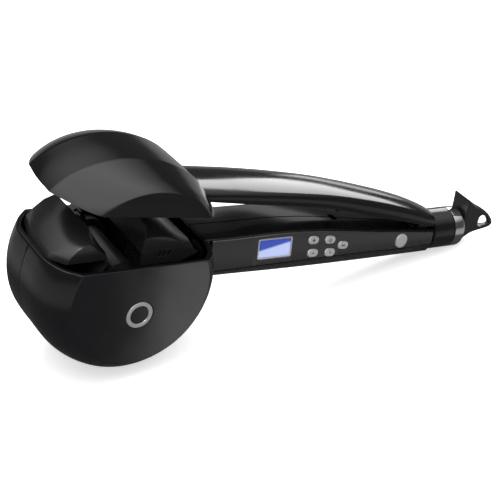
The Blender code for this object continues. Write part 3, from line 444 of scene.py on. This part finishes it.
def make_bowl():
    """Both halves of the drum's open housing, with a groove for the emblem in the near face."""
    for name, casing, side, start in (("bowl_near", "near_casing", -1, SEAM_Y - 0.15),
                                      ("bowl_far", "far_casing", 1, SEAM_Y + 0.15)):
        edge = -31.2 if side < 0 else 31.3
        outer = [bowl_row(y, smooth_row(BOWL_OUTSIDE, y)[1]) for y in steps(start, edge, 26)]
        outer.append(bowl_row(side * 31.7, 35.9 if side < 0 else 34.8))
        inner = [bowl_row(y, smooth_row(BOWL_INSIDE, y)[1]) for y in steps(start, side * 29.5, 16)]
        groove = turned([(-33, 4.6), (-30.6, 4.6), (-30.6, 7.0), (-33, 7.0)], "Y", EMBLEM_AT)
        piece(name, *shell(outer, inner), "lower_body", "gloss_black", (casing,), bevel=0.35,
              cuts=(groove,) if side < 0 else ())


def arm_section(x, near):
    """Half of the lower arm's cross-section, from the seam over the top and the side to the bottom."""
    _, top, top_half, waist, waist_half, bottom, bottom_half = smooth_row(LOWER_ARM, x)
    if near:
        half = [(top_half - 1.6, top), (top_half - 0.75, top - 0.12), (top_half - 0.4, top - 0.5),
                (top_half - 1.6, top - 0.78), (waist_half - 1.6, waist - 0.3),
                (waist_half - 0.3, waist - 0.75), (waist_half - 0.9, waist - 1.7),
                (bottom_half + 0.8, bottom + 0.9), (bottom_half - 0.2, bottom + 0.25),
                (bottom_half - 1.6, bottom)]
    else:
        half = [(top_half - 1.6, top), (top_half - 0.6, top - 0.15), (top_half - 0.1, top - 0.8),
                (waist_half, waist - 0.4), (waist_half - 0.1, waist - 1.0), (waist_half - 0.9, waist - 1.7),
                (bottom_half + 0.8, bottom + 0.9), (bottom_half - 0.2, bottom + 0.25),
                (bottom_half - 1.6, bottom)]
    side = -1 if near else 1
    seam = SEAM_Y + 0.15 * side
    if not near:
        share = min(1.0, max(0.0, (x - 30) / 160))
        extra = FAR_EXTRA[0] + (FAR_EXTRA[1] - FAR_EXTRA[0]) * share
        half = [(y + extra, z) for y, z in half]
    shown = [(side * y, z) for y, z in half]
    return [(seam, top - 0.25), (seam + 0.25 * side, top)] + shown + [(seam, bottom)]


def make_lower_arm():
    """Both halves of the lower arm, which start against the bowl, with the hinge's slot and a switch hole."""
    slot = block((175, -7.3, -0.6), (188.1, 7.5, 20))
    switch_hole = block((125.9, -1.9, 5), (129.6, 3.7, 30))
    for name, near in (("arm_near", True), ("arm_far", False)):
        first = []
        for y, z in arm_section(43, near):
            wall = smooth_row(BOWL_OUTSIDE, y)[1] - 1.1
            first.append((math.sqrt(wall * wall - z * z), y, z))
        rings = [first] + [[(x, y, z) for y, z in arm_section(x, near)] for x in steps(50, 190.2, 56)]
        piece(name, *loft(rings), "lower_body", "gloss_black", cuts=(slot, switch_hole), smooth_deg=26)


def panel_point(x, share):
    """A point on the panel's face; `share` runs from its lower edge (0) to its upper edge (1)."""
    _, top, top_half, waist, waist_half, _, _ = smooth_row(LOWER_ARM, x)
    low = Vector((x, -waist_half, waist - 0.4))
    high = Vector((x, -top_half, top - 0.8))
    return low.lerp(high, share)


def panel_normal(x):
    _, top, top_half, waist, waist_half, _, _ = smooth_row(LOWER_ARM, x)
    up = Vector((0, waist_half - top_half, top - 0.4 - waist))
    before = smooth_row(LOWER_ARM, x - 8)
    after = smooth_row(LOWER_ARM, x + 8)
    narrowing = 0.5 * (before[2] + before[4] - after[2] - after[4])
    normal = Vector((16, narrowing, 0)).cross(up).normalized()
    return normal if normal.y < 0 else -normal


def panel_axes(x):
    """The panel's own axes at x: along it towards the tail, up it, and out of it."""
    out = panel_normal(x)
    a = smooth_row(LOWER_ARM, x - 8)
    b = smooth_row(LOWER_ARM, x + 8)
    across = Vector((1, 0, -(a[1] + a[3] - b[1] - b[3]) / 32.0)).normalized()
    across = (across - out * across.dot(out)).normalized()
    up = out.cross(across)
    return across, (up if up.z > 0 else -up), out


def on_panel(x, share, outline, depths):
    """Rings of an outline set into the panel's face, one per (height over the face, shrink)."""
    across, up, out = panel_axes(x)
    centre = panel_point(x, share)
    return [[tuple(centre + across * a + up * b + out * height) for a, b in outline(shrink)]
            for height, shrink in depths]


def bar(centre, wide, tall):
    x, y = centre
    return [(x - wide / 2, y - tall / 2), (x + wide / 2, y - tall / 2),
            (x + wide / 2, y + tall / 2), (x - wide / 2, y + tall / 2)]


MARKS = {
    "key_plus": [bar((0, 0), 1.9, 0.5), bar((0, 0.7), 0.5, 0.85), bar((0, -0.7), 0.5, 0.85)],
    "key_minus": [bar((0, 0), 1.9, 0.5)],
    "key_power": [bar((0, 0.45), 0.45, 1.2), bar((-0.75, -0.2), 0.4, 1.2), bar((0.75, -0.2), 0.4, 1.2),
                  bar((0, -0.9), 1.5, 0.4)],
    "key_direction": [[(-1.1, -0.75), (0.1, 0), (-1.1, 0.75)], [(0.1, -0.75), (1.3, 0), (0.1, 0.75)]],
    "key_time": [bar((-0.25, 0.35), 0.4, 1.3), bar((0.3, -0.15), 0.9, 0.4)],
}


OVAL_STEPS = 14
DISC_STEPS = 48


def oval(long_side, short_side):
    def outline(shrink):
        radius = short_side / 2 - shrink
        reach = (long_side - short_side) / 2
        return (arc((reach, 0), radius, -90, 90, OVAL_STEPS)
                + arc((-reach, 0), radius, 90, 270, OVAL_STEPS))
    return outline


def disc(radius):
    def outline(shrink):
        return arc((0, 0), radius - shrink, 0, 360 - 360 / DISC_STEPS, DISC_STEPS - 1)
    return outline


def window(grow=0.0):
    x = sum(LCD_X) / 2
    wide = (LCD_X[1] - LCD_X[0]) / 2 + grow
    tall = (panel_point(x, LCD_SHARE[1]) - panel_point(x, LCD_SHARE[0])).length / 2 + grow

    def outline(shrink):
        w = wide - shrink
        t = tall - shrink
        r = LCD_CORNER
        return (arc((w - r, -t + r), r, -90, 0, 5) + arc((w - r, t - r), r, 0, 90, 5)
                + arc((-w + r, t - r), r, 90, 180, 5) + arc((-w + r, -t + r), r, 180, 270, 5))
    return outline


LCD_AT = (sum(LCD_X) / 2, sum(LCD_SHARE) / 2)
THROUGH = ((-4, 0), (4, 0))
KEY_DOME = ((-0.8, 0), (0.35, 0), (0.5, 0.06), (0.62, 0.2), (0.69, 0.45), (0.71, 0.8))
DISC_DOME = ((-0.8, 0), (0.48, 0), (0.62, 0.08), (0.71, 0.25), (0.74, 0.6))
LCD_BORDER = ((-1.2, 0.0), (0.06, 0.0), (0.16, 0.12), (0.16, 0.55), (-0.25, 0.75), (-1.2, 0.75))
SIGN_HEIGHTS = ((0.6, 0), (0.735, 0))


def make_panel():
    """Control panel with a rounded upper edge and a hole for each fitting."""
    rings = []
    for x in steps(PANEL_X[0], PANEL_X[1], 48):
        out = panel_normal(x)
        low = panel_point(x, 0.0)
        high = panel_point(x, 1.0)
        up = (high - low).normalized()
        ring = [low - out * 1.3, low - out * 0.5, low + up * 0.12 - out * 0.16, low + up * 0.5,
                high - up * 0.62, high - up * 0.3 - out * 0.09, high - up * 0.08 - out * 0.32,
                high - out * 0.62, high - out * 1.3]
        rings.append([tuple(p) for p in ring])
    cuts = [loft(on_panel(*LCD_AT, window(0.25), THROUGH))]
    for _, x, share in KEYS:
        cuts.append(loft(on_panel(x, share, oval(*KEY_HOLE), THROUGH)))
    cuts.append(loft(on_panel(*DISC_AT, disc(DISC_R + 0.28), THROUGH)))
    piece("panel_face", *loft(rings), "lower_body", "panel_black", ("control_panel",), cuts=cuts,
          smooth_deg=34)


def make_buttons():
    """The domed keys and the round button."""
    for name, x, share in KEYS:
        piece(name + "_cap", *loft(on_panel(x, share, oval(*KEY_SIZE), KEY_DOME)), name, "silver", (name,))
    piece("round_button_cap", *loft(on_panel(*DISC_AT, disc(DISC_R), DISC_DOME)), "round_button", "silver",
          ("round_button",))


def make_display():
    """The display's silver frame and its glass."""
    border = on_panel(*LCD_AT, window(), LCD_BORDER)
    piece("lcd_frame", *closed_loop(border), "lower_body", "silver", smooth_deg=50)
    glass = on_panel(*LCD_AT, window(-0.78), ((-0.9, 0), (-0.28, 0)))
    # the glass's finish carries the painted pale reflection
    piece("lcd_glass", *loft(glass), "lower_body", "clear", ("lcd_window",), bevel=0.08,
          finish_name="display_painted_reflection")


def make_signs():
    """The generic signs on the keys."""
    for name, x, share in KEYS:
        for index, mark in enumerate(MARKS[name]):
            sign = on_panel(x, share, lambda shrink, shape=mark: shape, SIGN_HEIGHTS)
            piece("%s_mark_%d" % (name, index), *loft(sign), name, "panel_black")


# ---------------------------------------------------------------- hair guides

FRONT_GUIDE = ([(-34.4, 14.6), (-33.0, 17.6), (-30.2, 20.8), (-26.4, 23.4), (-24.0, 24.0), (-19.0, 20.0),
                (-13.6, 14.6)],
               [(-40.4, 13.8), (-38.0, 16.8), (-33.2, 20.6), (-27.2, 24.4), (-20.4, 26.8), (-14.2, 18),
                (-9.8, 13.2)],
               [(-35.2, 13.8), (-34.2, 16.6), (-31.0, 20.2), (-26.2, 24.2), (-20.4, 26.4), (-14.2, 18),
                (-9.8, 13.2)])
REAR_GUIDE = ([(3.6, 15.8), (4.6, 23.6), (9.2, 24), (14.4, 23.6), (20, 22.0), (25.4, 19.2), (31.8, 16.2)],
              [(4.6, 15.8), (9.7, 25.0), (13.4, 25.4), (18, 24.4), (22.6, 22.2), (27.2, 19.2), (33.4, 16.2)],
              [(4.6, 15.8), (11.4, 24.6), (14.8, 24.8), (19.4, 23.0), (23.4, 20.8), (27.4, 18.4),
               (31.6, 16.2)])


JAW_WALL = 0.13
APRON = [(4.3, 9.4), (4.1, 17.3), (29.4, 17.3), (34.6, 13.4), (26, 9.4)]
APRON_SLOTS_X = (12.6, 15.2, 17.8)


def make_guides():
    """The two jaws as bevelled shells, each open underneath, with the near apron and its slots."""
    room = turned([(14.8, 0.01), (14.8, 22.4), (40, 22.4), (40, 0.01)], "Y", (0, 0), 64)
    for name, rows in (("front", FRONT_GUIDE), ("rear", REAR_GUIDE)):
        near, mid, far = rows
        rings = [[(x, y, z) for x, z in row]
                 for y, row in ((-19.8, near), (-10.7, mid), (8, mid), (24.4, far))]
        inner = []
        for y, row in ((-18.2, near), (-10.2, mid), (8, mid), (22.9, far)):
            middle_x = sum(x for x, _ in row) / len(row)
            ring = [(x + (middle_x - x) * JAW_WALL, y, z + (8.0 - z) * JAW_WALL) for x, z in row]
            inner.append([(x, y, 4.0 if i in (0, len(ring) - 1) else z) for i, (x, y, z) in enumerate(ring)])
        piece(name + "_jaw", *loft(rings), "lower_body", "guide_black", (name + "_guide",),
              cuts=(room, loft(inner)), bevel=0.25, limit_deg=20, smooth_deg=24)
    slots = []
    for x in APRON_SLOTS_X:
        slots.append(loft([[(x, y, 13.4), (x + 1.1, y, 13.4), (x + 1.9, y, 16.2), (x + 0.8, y, 16.2)]
                           for y in (-21, -18.4)]))
    piece("rear_apron", *loft([[(x, y, z) for x, z in APRON] for y in (-20.1, -18.9)]), "lower_body",
          "guide_black", cuts=slots, bevel=0.2)


# ---------------------------------------------------------------- upper arm and cover

def cover_size(y):
    """Middle, half length and height of the cover's arc at y; the top band meets both flares at a crease."""
    table = COVER_NEAR if y < CREASES_Y[0] else (COVER_TOP if y < CREASES_Y[1] else COVER_FAR)
    return smooth_row(table, y)[1:]


def cover_row(y, shrink=0.0):
    """One arc of the cover at y, from its front edge over the top to its rear edge."""
    middle, half, height = cover_size(y)
    a = half - shrink
    b = height - shrink
    front = math.pi - math.asin(COVER_EDGE_Z / b)
    rear = math.asin((COVER_EDGE_Z + COVER_EDGE_RISE) / b)
    return [(middle + a * math.cos(angle), y, b * math.sin(angle)) for angle in steps(front, rear, ARC_STEPS)]


def make_cover():
    """Dome with flat end walls, a crease on each side of its top band and a notch in the far wall."""
    near_y = COVER_NEAR[0][0]
    far_y = COVER_FAR[-1][0]
    near_crease, far_crease = CREASES_Y
    outer_y = [near_y, -31.0] + steps(-30, near_crease, 24)
    outer_y += steps(near_crease + 1, far_crease, 16) + steps(far_crease + 1, far_y, 12)
    inner_y = steps(near_y + COVER_END_WALL, far_y - COVER_END_WALL, 40)
    points, faces = loft([cover_row(y) for y in outer_y])
    inner_rows = [cover_row(y, COVER_WALL) for y in inner_y]
    hollow = loft([[(x, y, z - 4 if i in (0, ARC_STEPS) else z) for i, (x, y, z) in enumerate(row)]
                   for row in inner_rows])
    notch = loft([[(x, y, z) for x, z in HAIR_NOTCH] for y in (far_y - 6, far_y + 2)])
    piece("cover_dome", points, faces, "upper_arm", "gloss_black", ("head_cover",), axes=UPPER,
          bevel=0.3, limit_deg=24, smooth_deg=14, cuts=(hollow, notch))


CROWN_STEPS = 20
CROWN_POWER = 0.8


def upper_section(x):
    """The upper arm's cross-section at x: flat underside, upright sides and a rounded crown."""
    _, crown, shoulder, half, under = smooth_row(UPPER_ARM, x)
    points = [(half - 0.9, under), (half - 0.25, under + 0.2), (half, under + 0.8), (half, shoulder)]
    for i in range(1, CROWN_STEPS):
        angle = math.pi * i / CROWN_STEPS
        rise = (crown - shoulder) * math.sin(angle) ** CROWN_POWER
        points.append((half * math.cos(angle), shoulder + rise))
    points += [(-half, shoulder), (-half, under + 0.8), (-half + 0.25, under + 0.2), (-half + 0.9, under)]
    return points


def make_upper_arm():
    """The upper arm as a hollow shell that starts inside the cover's tail side."""
    first = []
    for y, z in upper_section(36):
        middle, half, height = cover_size(y)
        low = math.sqrt(max(0.0, 1 - (z / (height - 1.0)) ** 2))
        first.append((middle + (half - 1.0) * low, y, z))
    rings = [first] + [[(x, y, z) for y, z in upper_section(x)] for x in steps(47, 188.6, 60)]
    cut_ring = []
    for x in steps(46, 186.9, 24):
        _, crown, shoulder, half, under = smooth_row(UPPER_ARM, x)
        side = half - 1.6
        cut_ring.append([(x, side, under - 3), (x, side, shoulder - 0.8), (x, side * 0.5, crown - 2.4),
                         (x, -side * 0.5, crown - 2.4), (x, -side, shoulder - 0.8), (x, -side, under - 3)])
    piece("arm_shell", *loft(rings), "upper_arm", "gloss_black", ("arm_cover",), axes=UPPER,
          cuts=(loft(cut_ring),), smooth_deg=30)


# ---------------------------------------------------------------- tail

def make_tail():
    """Black collar and bright ring, turned about the lower arm's tail axis."""
    centre = (0, TAIL_Z)
    collar = [(190.6, 8.5), (190.6, 9.9), (190.75, 10.15), (191.0, TAIL_R), (204.1, TAIL_R), (204.35, 10.2),
              (204.4, 10.0), (204.4, 8.5)]
    piece("collar_sleeve", *turned(collar, "X", centre), "lower_body", "gloss_black", ("tail_collar",))
    ring = [(204.7, 8.5), (204.7, 10.1), (204.9, TAIL_R)]
    ring += [(210.2 + 1.8 * math.sin(math.radians(a)), TAIL_R - 1.8 + 1.8 * math.cos(math.radians(a)))
             for a in range(0, 91, 15)]
    ring += [(212.0, 8.5)]
    piece("bright_ring", *turned(ring, "X", centre), "lower_body", "chrome", ("tail_ring",))


FIN = [(213.2, -8.2), (216, -7.9), (222, -7.6), (228, -7.2), (233.6, -6.6), (237.8, -5.8), (239.6, -4.6),
       (239.8, -3.2), (238.2, -0.6), (235.2, 2.4), (231.6, 5.0), (227.4, 7.4), (224.6, 8.6), (222.0, 10.2),
       (217.4, 13.0), (212.7, 15.9), (213.0, 12.0), (213.2, 8.0)]
EDGE_DROP = (13.1, 8.0)
GROMMET_AT = Vector((217.6, 0, 12.7))
FIN_MIDDLE = (222.0, 0.5)
FIN_ROUND = 1.3
FIN_INSETS = (1.3, 0.75, 0.32, 0.08, 0.0)
FIN_HALF = [(210, 6.8), (214, 6.6), (218, 5.2), (222, 3.6), (226, 2.4), (231, 1.8), (240, 1.4)]


def fin_half(x):
    """Half thickness of the tail's end at x, a wedge that thins towards the tip."""
    for (low_x, low), (high_x, high) in zip(FIN_HALF, FIN_HALF[1:]):
        if x <= high_x:
            return low + (high - low) * (x - low_x) / (high_x - low_x)
    return FIN_HALF[-1][1]


def make_swivel():
    """The swivelling end: a wedge with rounded borders and a teardrop hole, on its turned hub.

    The grommet for the lead sits in its sloping edge, which falls EDGE_DROP[1] over a run of EDGE_DROP[0].
    """
    outline = []
    for (ax, az), (bx, bz) in zip(FIN, FIN[1:] + FIN[:1]):
        outline += [(ax + (bx - ax) * t, az + (bz - az) * t) for t in (0.0, 0.34, 0.67)]
    rings = []
    layers = [(-1, inset) for inset in FIN_INSETS] + [(1, inset) for inset in reversed(FIN_INSETS)]
    for side, inset in layers:
        ring = []
        for x, z in outline:
            reach = math.hypot(x - FIN_MIDDLE[0], z - FIN_MIDDLE[1])
            share = 1 - inset / reach
            drop = FIN_ROUND - math.sqrt(max(0.0, FIN_ROUND * FIN_ROUND - (FIN_ROUND - inset) ** 2))
            ring.append((FIN_MIDDLE[0] + (x - FIN_MIDDLE[0]) * share, side * (fin_half(x) - 0.05 - drop),
                         FIN_MIDDLE[1] + (z - FIN_MIDDLE[1]) * share))
        rings.append(ring)
    hole = arc((230.2, -0.9), 3.5, 95, 265, 16) + [(234.0, -4.4), (236.4, -4.3), (237.2, -3.4), (236.9, -2.4),
                                                   (234.2, 1.2)]
    out = Vector((EDGE_DROP[1], 0, EDGE_DROP[0])).normalized()
    turn = Vector((0, 1, 0)).rotation_difference(out)

    def on_edge(shape):
        points, faces = shape
        return [tuple(turn @ Vector(p) + GROMMET_AT) for p in points], faces

    seat = on_edge(turned([(-2.5, 0.01), (-2.5, 3.05), (3, 3.05), (3, 0.01)], "Y", (0, 0), 40))
    lead = on_edge(turned([(-2.2, 1.9), (-2.2, 3.0), (-0.3, 3.0), (-0.1, 2.8), (0.0, 2.5), (0.0, 2.1),
                           (-0.2, 1.9)], "Y", (0, 0), 48))
    piece("lead_grommet", *lead, "swivel", "rubber", ("cord_gland",))
    piece("swivel_fin", *loft(rings), "swivel", "satin_black", ("swivel_end",),
          cuts=(loft([[(x, y, z) for x, z in hole] for y in (-9, 9)]), seat),
          bevel=0.22, limit_deg=40, smooth_deg=32)
    hub = [(194.6, 3.2), (194.6, 5.9), (196.4, 5.9), (196.4, 5.2), (212.5, 5.2), (212.5, 8.4), (214.4, 8.4),
           (215.4, 3.2)]
    piece("swivel_hub", *turned(hub, "X", (0, TAIL_Z), 72), "swivel", "satin_black")


def make_emblem():
    """Plain silver ring let flush into the near face."""
    face = -31.68
    profile = [(face + 0.7, 4.8), (face + 0.12, 4.8), (face, 4.92), (face, 6.68), (face + 0.12, 6.8),
               (face + 0.7, 6.8)]
    piece("emblem_ring", *turned(profile, "Y", EMBLEM_AT), "lower_body", "chrome", ("face_emblem",),
          finish_name="silver")


# ---------------------------------------------------------------- studio

FLOOR_DROP = 0.0004
FLOOR_GLOW = 0.62
SKY = [(-1.0, 0.02), (-0.52, 0.03), (-0.36, 0.16), (-0.08, 0.14), (0.04, 0.03), (0.40, 0.03), (0.62, 0.30),
       (0.88, 0.85), (1.0, 0.85)]
SKY_STRENGTH = 2.5


def make_floor():
    """Plain white floor, partly lit by itself, which the gloss doesn't mirror."""
    floor_mesh = bpy.data.meshes.new("floor")
    work = bmesh.new()
    bmesh.ops.create_grid(work, x_segments=8, y_segments=8, size=6.0)
    work.to_mesh(floor_mesh)
    work.free()
    floor = bpy.data.objects.new("floor", floor_mesh)
    bpy.context.scene.collection.objects.link(floor)
    floor.location = (0, 0, -FLOOR_DROP)
    white = finish("floor_white", (0.9, 0.9, 0.9), 0.6, grain=60, bump=0.0, tone=0.01, specular=0.1)
    shader = white.node_tree.nodes["Principled BSDF"]
    shader.inputs["Emission Color"].default_value = (1, 1, 1, 1)
    shader.inputs["Emission Strength"].default_value = FLOOR_GLOW
    floor_mesh.materials.append(white)
    floor.visible_glossy = False
    floor.visible_shadow = False


def make_sky():
    """Soft grey surroundings whose brightness follows the height of the direction, as listed in SKY."""
    world = bpy.data.worlds.new("studio")
    bpy.context.scene.world = world
    world.use_nodes = True
    tree = world.node_tree
    background = tree.nodes["Background"]
    place = tree.nodes.new("ShaderNodeTexCoord")
    split = tree.nodes.new("ShaderNodeSeparateXYZ")
    link(tree, place.outputs["Generated"], split.inputs["Vector"])
    height = tree.nodes.new("ShaderNodeMapRange")
    height.inputs["From Min"].default_value = -1.0
    height.inputs["From Max"].default_value = 1.0
    link(tree, split.outputs["Z"], height.inputs["Value"])
    ramp = tree.nodes.new("ShaderNodeValToRGB")
    while len(ramp.color_ramp.elements) < len(SKY):
        ramp.color_ramp.elements.new(1.0)
    for element, (z, value) in zip(ramp.color_ramp.elements, SKY):
        element.position = (z + 1) / 2
        element.color = (value, value, value, 1)
    link(tree, height.outputs["Result"], ramp.inputs["Fac"])
    link(tree, ramp.outputs["Color"], background.inputs["Color"])
    background.inputs["Strength"].default_value = SKY_STRENGTH


def soft_light(name, place, target, size, power, lit):
    """A rectangular softbox at `place` that faces `target`, in metres; it lights only the pieces in `lit`."""
    data = bpy.data.lights.new(name, "AREA")
    data.shape = "RECTANGLE"
    data.size, data.size_y = size
    data.energy = power
    made = bpy.data.objects.new(name, data)
    bpy.context.scene.collection.objects.link(made)
    made.location = place
    made.rotation_euler = (Vector(target) - Vector(place)).to_track_quat("-Z", "Y").to_euler()
    made.visible_camera = False
    group = bpy.data.collections.new(name + "_receivers")
    for receiver in lit:
        group.objects.link(bpy.data.objects[receiver])
    made.light_linking.receiver_collection = group


JAWS = ["front_jaw", "rear_jaw", "rear_apron"]
FITTINGS = [name + "_cap" for name, _, _ in KEYS] + ["round_button_cap", "lcd_frame", "lcd_glass",
                                                     "bright_ring", "emblem_ring"] + JAWS
TAIL = ["collar_sleeve", "bright_ring", "swivel_fin"]
SOFTBOXES = [
    # name, place, target, size, watts, pieces that it lights
    ("overhead", (0.3, 1.6, 1.9), (0, 0, 0), (1.0, 0.8), 34, ["floor"]),
    ("front", (-0.9, -1.5, 1.0), (0, 0, 0.05), (0.8, 0.8), 12, FITTINGS),
    ("arm_band", (0.53, 0.26, 0.34), (-0.03, -0.01, 0.075), (0.44, 0.32), 2.8, ["arm_shell"]),
    ("edge_line", (0.40, -0.27, 0.70), (0, 0, 0.04), (0.6, 0.35), 4.0, ["panel_face"]),
    ("casing_band", (0.55, 0.55, 0.22), (0, 0, 0.04), (0.7, 0.10), 0.15, ["arm_near", "arm_far"]),
    ("tail_strip", (0.57, 0.50, 0.055), (0.1, 0, 0.03), (0.22, 0.09), 0.12, ["arm_shell"]),
    ("collar_strip", (0.57, 0.38, 0.22), (0.1, 0, 0.02), (0.25, 0.26), 0.95, TAIL),
    ("face_glow", (0.20, -0.34, -0.33), (-0.08, -0.03, 0.03), (0.22, 0.22), 0.2, ["bowl_near"]),
    ("jaw_glow", (-0.3, -0.2, 0.9), (-0.1, 0, 0.06), (0.3, 0.3), 1.6, JAWS),
]

CAMERA_AZIMUTH = -37.45
CAMERA_ELEVATION = 27.47
CAMERA_ROLL = 12.35
CAMERA_DISTANCE = 727.8
CAMERA_SHIFT = (49.9, 21.7)


def make_camera():
    """The camera, placed in the device's axes from the middle of the near face."""
    azimuth = math.radians(CAMERA_AZIMUTH)
    elevation = math.radians(CAMERA_ELEVATION)
    roll = math.radians(CAMERA_ROLL)
    right = Vector((math.cos(azimuth), math.sin(azimuth), 0))
    back = Vector((math.sin(azimuth) * math.cos(elevation), -math.cos(azimuth) * math.cos(elevation),
                   math.sin(elevation)))
    up = back.cross(right)
    across = right * math.cos(roll) + up * math.sin(roll)
    upward = up * math.cos(roll) - right * math.sin(roll)
    near_face = Vector((0, COVER_NEAR[0][0], 0))
    place = near_face + across * CAMERA_SHIFT[0] + upward * CAMERA_SHIFT[1] + back * CAMERA_DISTANCE
    turn = TURN.to_3x3()
    data = bpy.data.cameras.new("camera")
    data.sensor_width = 36.0
    data.lens = 114.6
    data.clip_start = 0.01
    made = bpy.data.objects.new("camera", data)
    bpy.context.scene.collection.objects.link(made)
    axes = Matrix((turn @ across, turn @ upward, turn @ back)).transposed().to_4x4()
    made.matrix_world = Matrix.Translation(DEVICE @ place) @ axes
    bpy.context.scene.camera = made


# ---------------------------------------------------------------- the scene

SLOT_OF = {part["node"]: part["material_slot"] for part in frame["record"]["subparts"]}
for node_name, node in frame["nodes"].items():
    node.data.materials.clear()
    node.data.materials.append(FINISH[SLOT_OF[node_name]])

make_camera()
make_bowl()
make_lower_arm()
make_panel()
make_buttons()
make_display()
make_signs()
make_guides()
make_cover()
make_upper_arm()
make_tail()
make_swivel()
make_emblem()
make_floor()
make_sky()
bpy.context.scene.view_settings.view_transform = "Standard"
for softbox in SOFTBOXES:
    soft_light(*softbox)
